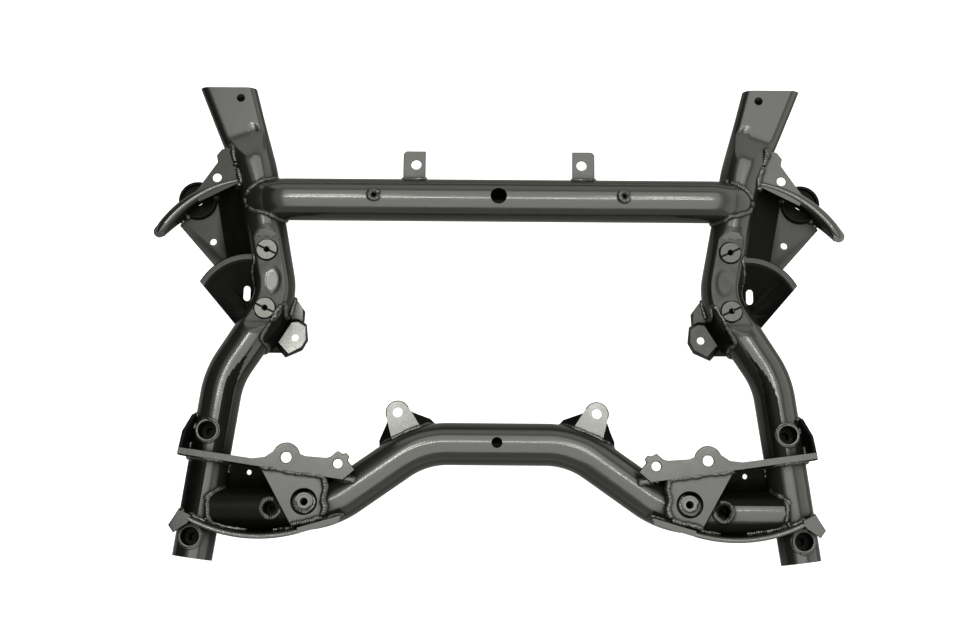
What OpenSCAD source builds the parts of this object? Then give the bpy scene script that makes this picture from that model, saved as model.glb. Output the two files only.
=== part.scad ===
// Welded tubular steel front subframe: two bent side rails, two crossmembers and the brackets welded to them.
// Millimetres, +Z up. +X is to the right, +Y is the front, and the rails rest on the plane z = 0.
// The right-hand pieces are drawn; the left-hand ones are their mirror images in the plane x = 0.

/* [Side rails] */
// Outside diameter of a rail from the front blend to the waist bend
rail_d = 58; // [54:0.5:62]
// Outside diameter of a rail at the knee bend
rail_knee_d = 57; // [54:0.5:60]
// Outside diameter of a rail at its rear end
rail_tail_d = 55; // [51:0.5:57]
// Wall of the rails
rail_wall = 3; // [2:0.25:4]
// Half the distance between the two rail axes at the front ends
front_x = 394; // [386:1:402]
// Front end of the rails
front_y = 354; // [344:1:364]
// Rail axis at the bend in front of the front crossmember, sideways
neck_x = 348; // [344:1:352]
// Rail axis at the bend in front of the front crossmember, lengthways
neck_y = 226; // [223:1:229]
// Rail axis at the innermost bend, sideways
waist_x = 313; // [309:1:317]
// Rail axis at the innermost bend, lengthways
waist_y = 45; // [40:1:50]
// Rail axis at the bend in front of the rear pocket, sideways
knee_x = 385; // [381:1:389]
// Rail axis at the bend in front of the rear pocket, lengthways
knee_y = -68; // [-74:1:-62]
// Half the distance between the two rail axes at the rear ends
tail_x = 419; // [414:1:424]
// Rear end of the rails
tail_y = -320; // [-330:1:-316]
// Bend radius of the rail axis at the neck
neck_r = 200; // [150:5:240]
// Bend radius of the rail axis at the waist
waist_r = 75; // [65:1:85]
// Bend radius of the rail axis at the knee
knee_r = 120; // [90:5:150]
// Width of the flattened front end
flat_w = 77; // [72:1:80]
// Width of the flattened part where its blend starts
flat_root_w = 70; // [66:1:74]
// Height of the flattened front end
flat_h = 26; // [22:1:32]
// Length of the flattened front end
flat_len = 76; // [66:1:80]
// Length of the blend from flattened to round
flat_blend = 38; // [28:1:40]
// Hole in the top of the flattened end
end_hole_d = 12; // [9:0.5:16]
// Distance of that hole from the front end, along the rail
end_hole_back = 22; // [16:1:30]
// Distance of that hole inboard of the rail axis
end_hole_in = 13; // [8:0.5:17]
// How far the pressed flat on top of the rail lies above the rail axis
form_h = 23; // [21:0.5:26]
// Front end of the pressed flat
form_front = 148; // [144:1:152]
// Rear end of the pressed flat
form_rear = -10; // [-14:1:-6]

/* [Bosses and sleeves] */
// Diameter of the four slotted bosses
boss_d = 28; // [24:0.5:31]
// Height of the slotted bosses above the pressed flat
boss_h = 4; // [3:0.5:7]
// Sideways place of the slotted bosses
boss_x = 327; // [324:0.5:330]
// Lengthways place of the front boss
boss_front_y = 110.5; // [106:0.5:115]
// Lengthways place of the rear boss
boss_rear_y = 26.5; // [23:0.5:30]
// Bore of the slotted bosses
boss_bore = 9; // [7:0.5:11]
// Width of the slot across a boss
slot_w = 3; // [2:0.2:4]
// Depth of the slot across a boss
slot_depth = 1.5; // [0.5:0.25:2.5]
// Outside diameter of the bolt sleeves in the rails
sleeve_d = 32; // [29:0.5:34]
// Bore of the bolt sleeves in the rails
sleeve_bore = 25; // [20:0.5:26]
// How far the sleeves stand above and below the rail axis
sleeve_half = 28.5; // [26:0.5:29]
// Lengthways place of the upper sleeve
upper_sleeve_y = -146; // [-149:1:-142]
// Sideways step of the upper sleeve from the rail axis
upper_sleeve_step = 5; // [3:0.5:6]
// Lengthways place of the lower sleeve
lower_sleeve_y = -291; // [-296:1:-288]
// Sideways step of the lower sleeve from the rail axis
lower_sleeve_step = 3; // [1:0.5:5]

/* [Front crossmember] */
// Outside diameter of the front crossmember
cross_d = 60; // [56:0.5:62]
// Wall of both crossmembers
cross_wall = 3; // [2:0.25:4]
// Lengthways place of the front crossmember
cross_y = 186; // [183:1:189]
// Height of the front crossmember's axis above the rail axis
cross_rise = 16; // [14:0.5:19]
// Angle by which the ends bend down to the rail axis
cross_bend = 42; // [38:1:46]
// Diameter of the ball to which each end is swaged
cross_ball_d = 64; // [61:0.5:67]
// Hole in the top of the front crossmember's middle
cross_hole_d = 23; // [18:0.5:26]
// Half the distance between the two threaded inserts
insert_x = 176; // [165:1:190]
// Diameter of the flange of a threaded insert
insert_flange_d = 15; // [13:0.5:18]
// Diameter of the body of a threaded insert
insert_body_d = 11; // [10:0.25:12]
// Bore of a threaded insert
insert_bore = 8; // [6:0.25:8.5]
// Length of a threaded insert
insert_len = 16; // [12:0.5:20]

/* [Front tabs] */
// Sideways place of the tab hole
tab_x = 118; // [110:1:126]
// Distance of the tab hole in front of the crossmember's axis
tab_reach = 51; // [48:0.5:54]
// Width of a tab
tab_w = 32; // [28:0.5:36]
// Hole in a tab
tab_hole_d = 14.5; // [10:0.5:17]
// Sheet thickness of the tabs and small brackets
sheet = 3.5; // [2.5:0.25:4]

/* [Front arm brackets] */
// Radius of the fold between the flange and the upright wall
fold_r = 163; // [159:1:167]
// Centre of the fold arc, sideways
fold_x = 338; // [334:1:342]
// Centre of the fold arc, lengthways
fold_y = 53; // [50:1:56]
// Height of the flange above the rail axis
arm_flange_z = 18; // [16:0.5:20]
// Width of the rolled rim at the bracket's free end
arm_rim = 12; // [10:0.5:14]
// Width of the rolled rim at the rail
arm_rim_root = 5; // [4:0.5:7]
// Plate thickness of the arm brackets and pocket walls
plate = 4; // [3:0.25:5]
// Hole in the flange
flange_hole_d = 13; // [9:0.5:15]
// Height of the base plate's top face above the rail axis, negative is below
base_top = -14; // [-16:0.5:-12]
// Distance of the base plate's fold from the rail axis
base_fold = 64; // [58:1:70]
// Angle at which the base plate rises from its fold to the rail
base_rise = 23; // [18:1:28]
// Hole in the base plate
base_hole_d = 10; // [7:0.5:13]
// Outside diameter of the round seat under the bracket wall
seat_d = 54; // [51:0.5:57]
// Sideways place of the round seat
seat_x = 435; // [432:0.5:438]
// Lengthways place of the round seat
seat_y = 190; // [187:0.5:193]
// Height of the round seat's rim above the base plate
seat_h = 8; // [6:0.5:11]

/* [Arm cups] */
// Axis of the dished cup, sideways
cup_x = 352; // [349:0.5:355]
// Axis of the dished cup, lengthways
cup_y = 27; // [24:0.5:30]
// Radius of the dish at its rim
cup_r = 69; // [66:0.5:72]
// Width of the cup's flat rim
cup_rim = 10; // [8:0.5:12]
// Height of the cup's rim above the rail axis
cup_rim_z = 20; // [18:0.5:22]
// Slot through the cup beside the rail, width
cup_slot_w = 10; // [8:0.5:13]

/* [Engine mount brackets] */
// Height of the mount pad above the rail axis
pad_z = 5; // [3:0.5:8]
// Hole in the mount pad
pad_hole_d = 11; // [8:0.5:13]
// Sideways place of the pad hole
pad_x = 286; // [284:0.5:288]
// Lengthways place of the pad hole
pad_y = -12; // [-14:0.5:-10]

/* [Rear crossmember] */
// Outside diameter of the rear crossmember
rear_d = 59; // [56:0.5:60]
// Lengthways place of the straight middle
rear_mid_y = -160; // [-164:1:-156]
// Lengthways place of the outer runs
rear_run_y = -252; // [-255:1:-249]
// Sideways place of the inner bends
rear_in_x = 106; // [101:1:111]
// Sideways place of the outer bends
rear_out_x = 237; // [233:1:241]
// Bend radius of the rear crossmember
rear_bend_r = 120; // [100:2:130]
// Hole in the top of the middle
rear_hole_d = 15; // [11:0.5:19]
// Turn of a rear ear about the centre of the inner bend
ear_turn = 23.5; // [20:0.5:27]
// Distance of the ear hole from the tube
ear_reach = 28; // [26:0.5:31]
// Hole in a rear ear
ear_hole_d = 14; // [10:0.5:16]
// Height of the rear ear's root above the rail axis
ear_z = 11; // [8:0.5:14]
// Angle by which the ear's face falls away from the tube
ear_tilt = 5.5; // [3:0.5:8]

/* [Rear pockets] */
// Height of the pocket flanges above the rail axis
pocket_z = 38; // [36:0.5:41]
// Front wall of the pocket at its outboard end, lengthways
wall_out_y = -179; // [-182:0.5:-177]
// Slope of the front wall in plan
wall_slope = 8.5; // [7.5:0.25:9.5]
// Hole in the round ear of the front wall
pocket_hole_d = 15; // [12:0.5:17]
// Hole in the small ear of the front wall
pocket_small_hole_d = 13; // [10:0.5:14]
// Radius of the curved rear wall
rear_wall_r = 200; // [192:1:208]
// Centre of the rear wall's curve, sideways
rear_wall_x = 325; // [322:1:328]
// Rearmost line of the rear wall's front face
rear_wall_y = -286; // [-288:0.5:-285]
// Width of the rear wall's rim
rear_rim = 8; // [7:0.5:11]
// How far the rear wall's lower edge stands in front of its fold
rear_wall_lean = 9; // [5:0.5:12]
// Hole in the gusset
gusset_hole_d = 35; // [31:0.5:38]
// Outside diameter of the insert in the gusset
gusset_insert_d = 25; // [20:0.5:28]
// Bore of the insert in the gusset
gusset_insert_bore = 11; // [8:0.5:13]
// Outside diameter of the sleeve through the rear crossmember
cross_sleeve_d = 24; // [20:0.5:25]
// Bore of the sleeve through the rear crossmember
cross_sleeve_bore = 18; // [14:0.5:19]

/* [Hidden] */
$fn = 48;
// Gap left for the weld between two pieces that meet
weld_gap = 0.2;
// Overshoot of a cutter past the face it opens
over = 1;
// Shrinkage that keeps a blend just inside the sections it joins
nest = 0.3;
// Step between faces of one piece that would otherwise share a plane
step = 0.1;
// Radius of the fold at a rim, of a rim's free edge, and the number of steps in an arc
fold_round = 5;
lip_round = 2;
arc_steps = 5;
// Ring at each end of a bend: its step above the tube, half its length, and the gap it bridges
ring_step = 0.15;
ring_half = 1.5;
ring_gap = 0.25;
paint = [0.13, 0.13, 0.125];
bare = [0.45, 0.45, 0.43];
rail_r = rail_d / 2;
rail_knee_r = rail_knee_d / 2;
rail_tail_r = rail_tail_d / 2;
rail_z = rail_r + ring_step;
cross_r = cross_d / 2;
cross_z = rail_z + cross_rise;
// The bend of an end comes down by cross_rise, so that the tube's axis ends on the rail axis
cross_bend_r = cross_rise / (1 - cos(cross_bend));
cross_bend_start = cross_bend_r * sin(cross_bend);
// Place of the ball along the bend
ball_turn = 0.78 * cross_bend;
ball_drop = cross_bend_r * (1 - cos(ball_turn));
rear_r = rear_d / 2;
rear_z = rail_z + 1;
p_front = [front_x, front_y];
p_neck = [neck_x, neck_y];
p_waist = [waist_x, waist_y];
p_knee = [knee_x, knee_y];
p_tail = [tail_x, tail_y];

function heading(p, q) = atan2(q[1] - p[1], q[0] - p[0]);
function turn(a, b) = ((b - a + 540) % 360) - 180;
function cut_back(r, a, b) = r * tan(abs(turn(a, b)) / 2);
// Sideways place of the rail's rear straight, and of its waist straight, at a lengthways place
function rear_rail_x(y) = tail_x + (knee_x - tail_x) * (y - tail_y) / (knee_y - tail_y);
function waist_rail_x(y) = waist_x + (neck_x - waist_x) * (y - waist_y) / (neck_y - waist_y);

a_front = heading(p_front, p_neck);
a_waist = heading(p_neck, p_waist);
a_mid = heading(p_waist, p_knee);
a_tail = heading(p_knee, p_tail);
d_neck = cut_back(neck_r, a_front, a_waist);
d_waist = cut_back(waist_r, a_waist, a_mid);
d_knee = cut_back(knee_r, a_mid, a_tail);
cross_end_x = waist_rail_x(cross_y);
upper_sleeve_x = rear_rail_x(upper_sleeve_y) + upper_sleeve_step;
lower_sleeve_x = rear_rail_x(lower_sleeve_y) + lower_sleeve_step;
// Rear crossmember path
q_in = [rear_in_x, rear_mid_y];
q_out = [rear_out_x, rear_run_y];
rear_end_x = rear_rail_x(rear_run_y) - 12;
b_in = heading(q_in, q_out);
e_bend = cut_back(rear_bend_r, 0, b_in);
ear_centre = [rear_in_x - e_bend, rear_mid_y - rear_bend_r];
// Front wall of the pocket: rear face at a sideways place
wall_out_x = rear_rail_x(wall_out_y) + rail_tail_r + 10.5;
function wall_y(x) = wall_out_y - (wall_out_x - x) * tan(wall_slope);
rear_wall_cy = rear_wall_y + rear_wall_r;
gusset_low = rear_z - rail_z + rear_r + 0.3;
// Middle of the part's length, from the cut front ends to the rear corners of the rails
mid_y = (front_y + tail_y - rail_tail_r * abs(cos(a_tail))) / 2;

// Puts the middle of the length at y = 0
module centred() {
    translate([0, -mid_y, 0])
        children();
}

// The same on the left-hand side
module on_left() {
    mirror([1, 0, 0])
        centred()
            children();
}

// Places children on the straight from p to q, their +Z along it
module on_path(p, q, skip, z) {
    a = heading(p, q);
    translate([p[0] + skip * cos(a), p[1] + skip * sin(a), z])
        rotate([0, 0, a])
            rotate([0, 90, 0])
                children();
}

// Stretch of tube on the straight from p to q, between two distances from p
module run(p, q, from, to, r1, r2, z) {
    on_path(p, q, from, z)
        cylinder(r1 = r1, r2 = r2, h = to - from);
}

// Extra length at the flattened end, cut off square to the car
end_spare = flat_w / 2;

// Low ring on the straight from p to q where a bend starts or ends
module bend_ring(p, q, at, r, z) {
    on_path(p, q, at - ring_half, z)
        cylinder(r = r + ring_step, h = 2 * ring_half);
}

// Round bend at the corner p, between the headings a and b
module path_bend(p, a, b, bend_r, r, z) {
    t = turn(a, b);
    s = sign(t);
    d = cut_back(bend_r, a, b);
    trim = ring_gap / bend_r * 180 / PI;
    translate([p[0] - d * cos(a) - s * bend_r * sin(a), p[1] - d * sin(a) + s * bend_r * cos(a), z])
        rotate([0, 0, (s > 0 ? a - 90 : b + 90) + trim])
            rotate_extrude(angle = abs(t) - 2 * trim)
                translate([bend_r, 0])
                    circle(r);
}

// Section of the flattened end: two round sides joined by a flat web
module flat_section(w, g) {
    side_r = flat_h / 2 + g;
    reach = w / 2 - flat_h / 2;
    for (s = [-1, 1])
        translate([0, s * reach])
            circle(side_r);
    square([2 * side_r, 2 * reach], center = true);
}

// Front part of a rail: flattened end, blend, neck bend and waist straight
module rail_front_part(g, ext) {
    round_start = flat_len + flat_blend;
    len_front = norm(p_neck - p_front) - d_neck;
    len_waist = norm(p_waist - p_neck) - d_waist;
    r = rail_r + g;
    on_path(p_front, p_neck, 0, rail_z)
        hull() {
            translate([0, 0, -ext])
                linear_extrude(over)
                    flat_section(flat_w + (flat_w - flat_root_w) * ext / flat_len, g);
            translate([0, 0, flat_len - over])
                linear_extrude(over)
                    flat_section(flat_root_w, g);
        }
    on_path(p_front, p_neck, flat_len, rail_z)
        hull() {
            translate([0, 0, -over])
                linear_extrude(over)
                    flat_section(flat_root_w, g - nest);
            translate([0, 0, flat_blend])
                linear_extrude(over)
                    circle(r - nest);
        }
    run(p_front, p_neck, round_start, len_front - ring_gap, r, r, rail_z);
    bend_ring(p_front, p_neck, len_front, r, rail_z);
    path_bend(p_neck, a_front, a_waist, neck_r, r, rail_z);
    bend_ring(p_neck, p_waist, d_neck, r, rail_z);
    run(p_neck, p_waist, d_neck + ring_gap, len_waist - ring_gap, r, r, rail_z);
}

// Rear part of a rail: waist bend, middle straight, knee bend and the tapered rear straight
module rail_rear_part(g, ext) {
    len_waist = norm(p_waist - p_neck) - d_waist;
    len_mid = norm(p_knee - p_waist) - d_knee;
    r = rail_r + g;
    rk = rail_knee_r + g;
    bend_ring(p_neck, p_waist, len_waist, r, rail_z);
    path_bend(p_waist, a_waist, a_mid, waist_r, r, rail_z);
    bend_ring(p_waist, p_knee, d_waist, r, rail_z);
    run(p_waist, p_knee, d_waist + ring_gap, len_mid - ring_gap, r, rk, rail_z);
    bend_ring(p_waist, p_knee, len_mid, rk, rail_z);
    path_bend(p_knee, a_mid, a_tail, knee_r, rk, rail_z);
    bend_ring(p_knee, p_tail, d_knee, rk, rail_z);
    rear_run(g, ext);
}

// Tapered rear straight of a rail on its own
module rear_run(g, ext) {
    len_tail = norm(p_tail - p_knee) + ext;
    run(p_knee, p_tail, d_knee + ring_gap, len_tail, rail_knee_r + g, rail_tail_r + g, rail_z);
}

// Space above the pressed flat on top of the rail, with a sloped run-out at both ends
module above_flat(g) {
    low = rail_z + form_h + g;
    rise = 3 * over + rail_r - form_h;
    slope = 2;
    translate([waist_x - 2 * rail_r, 0, 0])
        rotate([90, 0, 90])
            linear_extrude(4 * rail_r)
                polygon([[form_rear, low + rise], [form_rear + slope * rise, low],
                    [form_front - slope * rise, low], [form_front, low + rise]]);
}

// Outside of the rail grown by g; with g = -rail_wall it is the hollow inside
module rail_solid(g, ext = 0) {
    difference() {
        union() {
            rail_front_part(g, end_spare);
            rail_rear_part(g, ext);
        }
        above_flat(g);
    }
}

// Straight bore along Z
module bore(x, y, d, low, high) {
    translate([x, y, low])
        cylinder(d = d, h = high - low);
}

module side_rail() {
    color(paint)
        difference() {
            rail_solid(0);
            rail_solid(-rail_wall, over);
            // the front end is cut straight across the car
            translate([front_x - 100, front_y, 0])
                cube([200, 100, 3 * rail_z]);
            on_path(p_front, p_neck, end_hole_back, rail_z)
                translate([0, -end_hole_in, 0])
                    rotate([0, -90, 0])
                        cylinder(d = end_hole_d, h = rail_r);
            bore(upper_sleeve_x, upper_sleeve_y, sleeve_d + 2 * weld_gap, -over, rail_z + 2 * rail_r);
            bore(lower_sleeve_x, lower_sleeve_y, sleeve_d + 2 * weld_gap, -over, rail_z + 2 * rail_r);
            bore(boss_x, boss_front_y, boss_bore, rail_z, rail_z + 2 * rail_r);
            bore(boss_x, boss_rear_y, boss_bore, rail_z, rail_z + 2 * rail_r);
        }
}

// Outside of the front crossmember, grown by g
module cross_solid(g) {
    start = cross_end_x - cross_bend_start;
    r = cross_r + g;
    trim = ring_gap / cross_bend_r * 180 / PI;
    translate([ring_gap - start, cross_y, cross_z])
        rotate([0, 90, 0])
            cylinder(r = r, h = 2 * start - 2 * ring_gap);
    for (s = [0, 1])
        mirror([s, 0, 0]) {
            translate([start - ring_half, cross_y, cross_z])
                rotate([0, 90, 0])
                    cylinder(r = r + ring_step, h = 2 * ring_half);
            translate([start, cross_y, cross_z - cross_bend_r])
                rotate([90, 0, 0])
                    rotate([0, 0, 90 - cross_bend])
                        rotate_extrude(angle = cross_bend - trim)
                            translate([cross_bend_r, 0])
                                circle(r);
            translate([start + cross_bend_r * sin(ball_turn), cross_y, cross_z - ball_drop])
                sphere(d = cross_ball_d + 2 * g);
        }
}

module front_tube() {
    color(paint)
        difference() {
            cross_solid(0);
            cross_solid(-cross_wall);
            for (s = [0, 1])
                mirror([s, 0, 0])
                    run(p_neck, p_waist, -20, 120, rail_r + weld_gap, rail_r + weld_gap, rail_z);
            bore(0, cross_y, cross_hole_d, cross_z, 3 * cross_z);
            for (s = [-1, 1])
                bore(s * insert_x, cross_y, insert_body_d + 2 * weld_gap, cross_z, 3 * cross_z);
        }
}

// Outside of the rear crossmember, grown by g
module rear_solid(g) {
    r = rear_r + g;
    mid = rear_in_x - e_bend;
    slope_len = norm(q_out - q_in) - e_bend;
    q_end = [rear_end_x, rear_run_y];
    translate([ring_gap - mid, rear_mid_y, rear_z])
        rotate([0, 90, 0])
            cylinder(r = r, h = 2 * mid - 2 * ring_gap);
    for (s = [0, 1])
        mirror([s, 0, 0]) {
            bend_ring([0, rear_mid_y], q_in, mid, r, rear_z);
            path_bend(q_in, 0, b_in, rear_bend_r, r, rear_z);
            bend_ring(q_in, q_out, e_bend, r, rear_z);
            run(q_in, q_out, e_bend + ring_gap, slope_len - ring_gap, r, r, rear_z);
            bend_ring(q_in, q_out, slope_len, r, rear_z);
            path_bend(q_out, b_in, 0, rear_bend_r, r, rear_z);
            bend_ring(q_out, q_end, e_bend, r, rear_z);
            run(q_out, q_end, e_bend + ring_gap, rear_end_x - rear_out_x, r, r, rear_z);
        }
}

// Places of the insert in the gusset and of the sleeve through the rear crossmember
gusset_x = 263;
gusset_y = -243;
cross_sleeve_x = 309.5;

module rear_tube() {
    color(paint)
        difference() {
            rear_solid(0);
            rear_solid(-cross_wall);
            for (s = [0, 1])
                mirror([s, 0, 0]) {
                    rear_run(weld_gap, 0);
                    bore(cross_sleeve_x, rear_run_y, cross_sleeve_d + 2 * weld_gap, -over, 3 * rail_z);
                    bore(gusset_x, gusset_y, gusset_insert_d + 2 * weld_gap, rail_z, 3 * rail_z);
                }
            bore(0, rear_mid_y, rear_hole_d, rail_z, 3 * rail_z);
        }
}

// Points on an arc about c, from the angle a to the angle b
function ray(r, a) = r * [cos(a), sin(a)];
function arc(c, r, a, b) = [for (i = [0 : arc_steps]) c + ray(r, a + (b - a) * i / arc_steps)];

// Curved upright wall with a rolled rim turned out at its top and, where foot is set, a foot turned in below;
// its lower edge stands closer to the centre by lean
module curved_wall(r_in, h, rim, foot, lean, from, to) {
    r_low = r_in - lean;
    toe = foot > 0 ? [[r_low, plate], [r_low - foot, plate], [r_low - foot, 0]] : [[r_low, 0]];
    rotate([0, 0, from])
        rotate_extrude(angle = to - from)
            polygon(concat([[r_low + plate, 0], [r_in + plate, h - plate], [r_in + rim, h - plate]],
                arc([r_in + rim - lip_round, h - lip_round], lip_round, 0, 90),
                arc([r_in + fold_round, h - fold_round], fold_round, 90, 180), toe));
}

// The rim's blade, which widens from the rail to a round free end
module arm_rim_blade(tip, root, z_top) {
    spread = (arm_rim - arm_rim_root) / (1 - cos(root - tip));
    reach = 2 * fold_r;
    translate([fold_x, fold_y, z_top - plate + step]) {
        intersection() {
            translate([spread * cos(tip), spread * sin(tip), 0])
                cylinder(r = fold_r + arm_rim - spread, h = plate - 2 * step);
            difference() {
                linear_extrude(plate)
                    polygon([[0, 0], ray(reach, tip), ray(reach, (tip + root) / 2), ray(reach, root)]);
                cylinder(r = fold_r, h = 3 * plate, center = true);
            }
        }
        rotate([0, 0, tip])
            translate([fold_r + arm_rim / 2 - plate / 2, plate / 2, step])
                cylinder(d = arm_rim + plate, h = plate - 4 * step);
    }
}

// Flange with its rolled rim, and the upright wall below the fold
module arm_bracket() {
    tip = 29.5;
    root = 80;
    z_top = rail_z + arm_flange_z;
    z_low = rail_z + base_top - plate;
    color(paint)
        difference() {
            union() {
                translate([fold_x, fold_y, z_low])
                    curved_wall(fold_r - plate, z_top - z_low, plate + arm_rim_root, 0, 0, tip, root);
                arm_rim_blade(tip, root, z_top);
                translate([fold_x, fold_y, z_top - plate + step])
                    linear_extrude(plate - 2 * step)
                        polygon([[20, fold_r], [20, 216], [60, 206], [67, 197], [65, 187],
                            [84, 159], [96, 142], [90, 128], [50, 148]]);
            }
            rail_front_part(weld_gap, 0);
            bore(fold_x + 65, fold_y + 164, flange_hole_d, 0, 2 * z_top);
            // the wall's lower edge rises toward the tip
            translate([fold_x + fold_r * cos(tip + 14), fold_y + fold_r * sin(tip + 14), z_low])
                rotate([0, 0, tip - 90 + 7])
                    rotate([0, -35, 0])
                        translate([-over, -20, -40])
                            cube([90, 40, 40]);
            seat_space();
            seat_tongue(weld_gap);
        }
}

// Room for the round seat where the wall stands over it
module seat_space() {
    translate([seat_x, seat_y, 0])
        cylinder(d = seat_d + 2 * weld_gap, h = rail_z + base_top + seat_h + weld_gap);
}

// Tongue of the base plate that carries the round seat, grown by g
module seat_tongue(g) {
    z_low = rail_z + base_top - plate;
    translate([0, 0, z_low + step - g])
        linear_extrude(plate - 2 * step + 2 * g)
            hull() {
                translate([seat_x, seat_y])
                    circle(r = seat_d / 2 - plate + g);
                translate([fold_x + 62, fold_y + 92])
                    circle(r = plate + g);
            }
}

// Plate under the bracket: flat along its free edge, folded up toward the rail
module arm_base_plate() {
    z_low = rail_z + base_top - plate;
    rear_y = 95;
    fold_line = base_fold / abs(sin(a_waist)) + step;
    color(paint)
        difference() {
            union() {
                intersection() {
                    union() {
                        translate([0, 0, z_low])
                            linear_extrude(plate)
                                polygon([[waist_rail_x(seat_y + 45) + fold_line - over, seat_y + 45],
                                    [seat_x + 31, seat_y - 30], [seat_x - 27, rear_y],
                                    [waist_rail_x(rear_y) + fold_line - over, rear_y]]);
                        // part beside the rail, turned up about the fold line
                        translate([waist_rail_x(rear_y), rear_y, z_low + step])
                            rotate([0, 0, a_waist + 180])
                                translate([0, -base_fold, 0])
                                    rotate([base_rise, 0, 0])
                                        translate([0, -over, 0])
                                            cube([2 * seat_d + 45, base_fold, plate - 2 * step]);
                    }
                    translate([fold_x, fold_y, 0])
                        cylinder(r = fold_r - plate - weld_gap, h = 2 * rail_z);
                }
                seat_tongue(0);
            }
            rail_front_part(weld_gap, 0);
            seat_space();
            bore(seat_x - 24, seat_y - 60, base_hole_d, 0, 2 * rail_z);
        }
}

// Round pressed seat: a rim, a wall and a floor with a hole
module arm_seat() {
    z_top = rail_z + base_top + seat_h;
    floor_z = z_top - 7;
    color(paint)
        difference() {
            translate([seat_x, seat_y, 3])
                cylinder(d = seat_d, h = z_top - 3);
            bore(seat_x, seat_y, seat_d - 2 * plate, floor_z, z_top + over);
            bore(seat_x, seat_y, seat_d - 2 * plate, 0, floor_z - plate);
            bore(seat_x, seat_y, 14, 0, z_top);
        }
}

// Dished cup: flat rim and a cone down to the floor, cut off along a straight free edge
module arm_cup() {
    z_rim = cup_rim_z;
    low_r = 12;
    low_z = -22;
    cup_round = 9;
    slope = atan2(z_rim - low_z, cup_r - low_r);
    run_in = cup_round * tan(slope / 2);
    color(paint)
        difference() {
            translate([cup_x, cup_y, rail_z])
                rotate([0, 0, -70])
                    rotate_extrude(angle = 200)
                        polygon(concat([[cup_r + cup_rim, z_rim - plate]],
                            arc([cup_r + cup_rim - lip_round, z_rim - lip_round], lip_round, 0, 90),
                            arc([cup_r + run_in, z_rim - cup_round], cup_round, 90, 90 + slope),
                            [[low_r, low_z], [4, low_z], [4, low_z - plate], [low_r, low_z - plate],
                            [cup_r - 1, z_rim - plate]]));
            rail_solid(weld_gap);
            // free edge from the tip of the rim back to the rail
            translate([cup_x + 66, cup_y + 34, 0])
                rotate([0, 0, 50])
                    translate([-200, -100, -over])
                        cube([300, 100, 3 * rail_z]);
            // nothing inboard of the rail
            translate([waist_x - 300, -200, 0])
                cube([300, 400, 3 * rail_z]);
            // slot beside the rail
            translate([cup_x + 7, cup_y + 27, 0])
                rotate([0, 0, 98])
                    linear_extrude(3 * rail_z) {
                        square([10, cup_slot_w], center = true);
                        for (s = [-1, 1])
                            translate([5 * s, 0])
                                circle(d = cup_slot_w);
                    }
        }
}

// Faceted pressed box beside the rail with a flat mount pad
pad_outline = [[-15, 16], [-4, 23], [6, 22], [14, 8], [24, -7], [9, -24], [-10, -14], [-16, -3]];
function grown(list, g) = [for (p = list) p + g * p / norm(p)];

module pad_block(g) {
    hull() {
        translate([pad_x, pad_y, rail_z + pad_z - over + g])
            linear_extrude(over)
                polygon(grown(pad_outline, g));
        translate([pad_x + 4, pad_y + 2, rail_z - 12])
            linear_extrude(over)
                polygon(grown(pad_outline, g + 5));
    }
}

module mount_base(g) {
    low = g < 0 ? -over : 5;
    hull() {
        translate([0, 0, low])
            linear_extrude(over)
                polygon([[276 - g, 30], [286, 44 + g], [330, 30 + g], [345, -30], [302, -30 - g],
                    [279 - g, -20]]);
        translate([0, 0, rail_z - 8 + g])
            linear_extrude(over)
                polygon([[278 - g, 33], [288, 46 + g], [330, 30 + g], [345, -30], [304, -32 - g],
                    [277 - g, -18]]);
    }
}

// Shoulder that laps over the rail's flank beside the rear boss
module mount_shoulder(g) {
    hull() {
        translate([0, 0, rail_z - 12])
            linear_extrude(over)
                polygon([[297 - g, 36 + g], [296 - g, 12], [301 - g, -5 - g], [311 - g, -22 - g],
                    [318, -28 - g], [338, -26 - g], [330, 30 + g]]);
        translate([0, 0, rail_z + form_h + 1 + g])
            linear_extrude(over)
                polygon([[300 - g, 33 + g], [304, 31 + g], [330, -16], [326, -21 - g], [305 - g, 4 - g]]);
    }
}

// Round part of the rail that the mount meets
module rail_middle(g) {
    len_waist = norm(p_waist - p_neck) - d_waist;
    r = rail_r + g;
    difference() {
        union() {
            run(p_neck, p_waist, d_neck + ring_gap, len_waist - ring_gap, r, r, rail_z);
            rail_rear_part(g, 0);
        }
        above_flat(g);
    }
}

module engine_mount() {
    color(paint)
        difference() {
            union() {
                pad_block(0);
                mount_base(0);
                mount_shoulder(0);
            }
            pad_block(-sheet);
            mount_base(-sheet);
            mount_shoulder(-sheet);
            rail_middle(weld_gap);
            bore(pad_x, pad_y, pad_hole_d, 0, 3 * rail_z);
        }
}

// Corner of the pocket's wing
module wing_post(x, y, z) {
    translate([x, y, z])
        cube(plate);
}

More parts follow.
